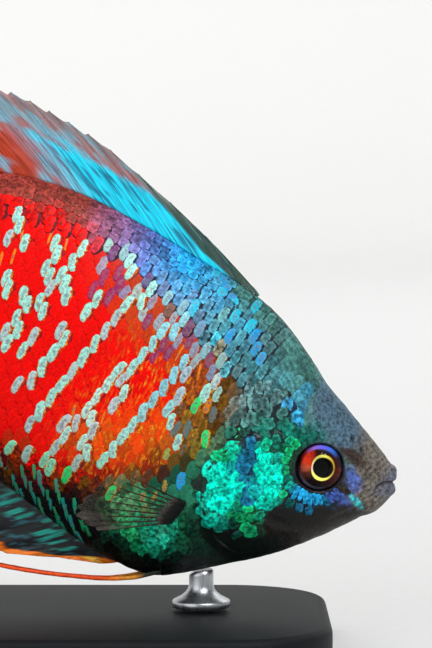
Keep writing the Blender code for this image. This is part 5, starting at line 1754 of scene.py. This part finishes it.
class GOURAMI_OT_eyes(bpy.types.Operator):
    """Makes each eye: the painted ball with its recessed iris and pupil, and the clear cornea"""

    bl_idname = "gourami.eyes"
    bl_label = "Eyes"

    def execute(self, context):
        painted, clear = iris(), cornea()
        rim = EYE_RADIUS
        ball = [(0, 0.4), (0.3, 0.4), (0.6, 0.4), (0.84, 0.4)]
        ball += [(0.9, 0.58), (1.1, 0.68), (1.4, 0.74), (1.66, 0.7)]
        ball += [(rim * 0.985 * math.sin(a), 0.95 * math.cos(a)) for a in np.radians((60, 66, 74, 82, 90))]
        ball += [(rim * math.sin(a), 1.1 * math.cos(a)) for a in np.radians((110, 130, 150, 165))]
        ball.append((0, -1.1))
        # The cornea is a lens whose back lies behind the iris, so only its front is seen
        lens = [(0, EYE_HALF_DEPTH)]
        lens += [(rim * math.sin(a), EYE_HALF_DEPTH * math.cos(a)) for a in np.radians(range(6, 91, 6))]
        lens += [(rim * 0.8, -0.15), (0, -0.15)]
        out = float(flank(*EYE_PLACE)) - EYE_HALF_DEPTH + EYE_OUT
        for word, side in (("left", 1), ("right", -1)):
            centre = (EYE_PLACE[0], side * out, EYE_PLACE[1])
            piece = dome(f"eyeball_{word}", centre, side, ball, painted)
            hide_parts(f"eye_{word}")
            dome(f"cornea_{word}", centre, side, lens, clear)
        return {"FINISHED"}


def under_belly(x, y):
    """The height, in metres, of the rod's end under the belly, over a point of the base."""
    low, high = -17.0, -10.0
    for _ in range(40):
        v = (low + high) / 2
        u = (SNOUT_X - x / MM + v * SIN) / COS
        low, high = (v, high) if underside(u, y / MM) > v else (low, v)
    return (SNOUT_HEIGHT + u * SIN + v * COS - GAP) * MM


class GOURAMI_OT_stand(bpy.types.Operator):
    """Makes the stand's base and rod, finer than the solids they stand for, with their finishes"""

    bl_idname = "gourami.stand"
    bl_label = "Stand"

    def execute(self, context):
        settings = context.scene.gourami_studio
        low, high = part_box("stand_base")
        middle, half = (low + high) / 2, (high - low) / 2
        corners = []
        for quarter, (cx, cy) in enumerate(((1, 1), (-1, 1), (-1, -1), (1, -1))):
            for k in range(17):
                turn = math.pi / 2 * (quarter + k / 16)
                corners.append((cx, cy, math.cos(turn), math.sin(turn)))
        corner, edge = BASE_CORNER * MM, BASE_EDGE * MM
        levels = [(low.z, 0.3 * edge), (low.z + 0.3 * edge, 0.0), (high.z - edge, 0.0)]
        for a in np.radians((18, 36, 54, 72, 90)):
            levels.append((high.z - edge * (1 - math.sin(a)), edge * (1 - math.cos(a))))
        rings = []
        for height, inset in levels:
            rings.append(np.array([(
                middle.x + cx * (half.x - corner) + (corner - inset) * c,
                middle.y + cy * (half.y - corner) + (corner - inset) * s, height,
            ) for cx, cy, c, s in corners]))
        points, faces = lofted(rings)
        base = mesh_object("base", points, faces, black_lacquer(settings.lacquer))
        face_outwards(base.data)
        low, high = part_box("stand_rod")
        axis, foot = (low + high) / 2, low.z
        # Shares of the foot's radius and height: a round foot that runs up into the rod in a hollow curve
        profile = (
            (0.94, 0.0), (1.0, 0.06), (1.0, 0.5), (0.97, 0.58), (0.72, 0.86), (0.56, 1.12), (0.46, 1.4),
            (0.425, 1.75), (0.423, 2.4),
        )
        turns = np.arange(48) * 2 * math.pi / 48
        rings = []
        for share, height in profile:
            radius = ROD_FOOT_RADIUS * share * MM
            x, y = axis.x + radius * np.cos(turns), axis.y + radius * np.sin(turns)
            rings.append(np.stack([x, y, np.full(48, foot + height * ROD_FOOT_HEIGHT * MM)], -1))
        radius = ROD_RADIUS * MM
        x, y = axis.x + radius * np.cos(turns), axis.y + radius * np.sin(turns)
        top = [under_belly(a, b) for a, b in zip(x, y)]
        rings.append(np.stack([x, y, np.array(top)], -1))
        points, faces = lofted(rings)
        rod = mesh_object("rod", points, faces, brushed_steel(settings.steel))
        face_outwards(rod.data)
        for piece, name in ((base, "stand_base"), (rod, "stand_rod")):
            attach(piece, "root")
            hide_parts(name)
        return {"FINISHED"}


class GOURAMI_OT_stage(bpy.types.Operator):
    """Sets the pale studio: a round paper sweep, soft lamps and the camera at the photograph's view"""

    bl_idname = "gourami.stage"
    bl_label = "Stage"

    def execute(self, context):
        settings = context.scene.gourami_studio
        # The paper lies flat, turns up in a quarter circle and then stands: (radius, height), in metres
        profile = [(0.0, 0.0), (0.5, 0.0), (0.9, 0.0), (1.2, 0.0)]
        profile += [(1.2 + 0.8 * math.sin(a), 0.8 - 0.8 * math.cos(a)) for a in np.radians(range(6, 91, 6))]
        profile += [(2.0, 1.2), (2.0, 1.5)]
        count = 96
        points = [(0.0, 0.0, 0.0)]
        for radius, height in profile[1:]:
            for t in np.arange(count) * 2 * math.pi / count:
                points.append((radius * math.cos(t), radius * math.sin(t), height))
        faces = spun_faces(count, len(profile) - 1)
        sweep = mesh_object("studio_sweep", points, faces, matt_paper(settings.paper))
        sweep.data.shade_smooth()
        target = Vector(CAMERA_TARGET) * MM
        sun = bpy.data.lights.new("key", "SUN")
        sun.energy, sun.angle = settings.key, math.radians(24)
        holder = bpy.data.objects.new("key", sun)
        holder.rotation_euler = Vector((-0.32, 0.62, -0.72)).to_track_quat("-Z", "Y").to_euler()
        context.scene.collection.objects.link(holder)
        for name, power, size, spot in (
            ("fill", settings.fill, 0.7, (-0.55, -0.6, 0.3)),
            ("rim", 0.6 * settings.fill, 0.5, (0.5, 0.55, 0.6)),
        ):
            lamp = bpy.data.lights.new(name, "AREA")
            lamp.energy, lamp.size = power, size
            holder = bpy.data.objects.new(name, lamp)
            holder.location = spot
            holder.rotation_euler = (target - Vector(spot)).to_track_quat("-Z", "Y").to_euler()
            holder.visible_camera = False
            context.scene.collection.objects.link(holder)
        world = bpy.data.worlds.new("studio")
        world.use_nodes = True
        world.node_tree.nodes["Background"].inputs["Color"].default_value = (*LAMP_WHITE, 1)
        world.node_tree.nodes["Background"].inputs["Strength"].default_value = 0.42
        context.scene.world = world
        context.scene.view_settings.view_transform = "Standard"
        camera = bpy.data.objects.new("camera", bpy.data.cameras.new("camera"))
        camera.data.sensor_width = SENSOR
        camera.data.lens = PIXELS_PER_MM * CAMERA_DISTANCE / PICTURE_HEIGHT * SENSOR
        camera.data.clip_start = 0.01
        lift = math.radians(CAMERA_ELEVATION_DEG)
        away = Vector((0.0, -math.cos(lift), math.sin(lift)))
        camera.location = target + away * CAMERA_DISTANCE * MM
        camera.rotation_euler = (-away).to_track_quat("-Z", "Y").to_euler()
        context.scene.collection.objects.link(camera)
        context.scene.camera = camera
        return {"FINISHED"}


GROUPS = {
    "gourami_skin": GouramiSkin, "gourami_scales": GouramiScales, "gourami_fins": GouramiFins,
    "gourami_studio": GouramiStudio,
}
OPERATORS = (
    GOURAMI_OT_stage, GOURAMI_OT_skin, GOURAMI_OT_scales, GOURAMI_OT_fins, GOURAMI_OT_feelers,
    GOURAMI_OT_eyes, GOURAMI_OT_stand,
)


class GOURAMI_PT_panel(bpy.types.Panel):
    """Lists the gourami's settings and the steps that make it"""

    bl_label = "Dwarf gourami"
    bl_idname = "GOURAMI_PT_panel"
    bl_space_type = "VIEW_3D"
    bl_region_type = "UI"
    bl_category = "Gourami"

    def draw(self, context):
        for key in GROUPS:
            settings = getattr(context.scene, key)
            box = self.layout.box()
            for name in settings.bl_rna.properties.keys():
                if name not in ("rna_type", "name"):
                    box.prop(settings, name)
        for operator in OPERATORS:
            self.layout.operator(operator.bl_idname)


def register():
    for kind in (*GROUPS.values(), *OPERATORS, GOURAMI_PT_panel):
        bpy.utils.register_class(kind)
    for key, group in GROUPS.items():
        setattr(bpy.types.Scene, key, PointerProperty(type=group))


def unregister():
    for key in GROUPS:
        delattr(bpy.types.Scene, key)
    for kind in reversed((*GROUPS.values(), *OPERATORS, GOURAMI_PT_panel)):
        bpy.utils.unregister_class(kind)


def main():
    register()
    bpy.ops.gourami.stage()
    bpy.ops.gourami.skin()
    bpy.ops.gourami.scales()
    bpy.ops.gourami.fins()
    bpy.ops.gourami.feelers()
    bpy.ops.gourami.eyes()
    bpy.ops.gourami.stand()


if __name__ == "__main__":
    main()
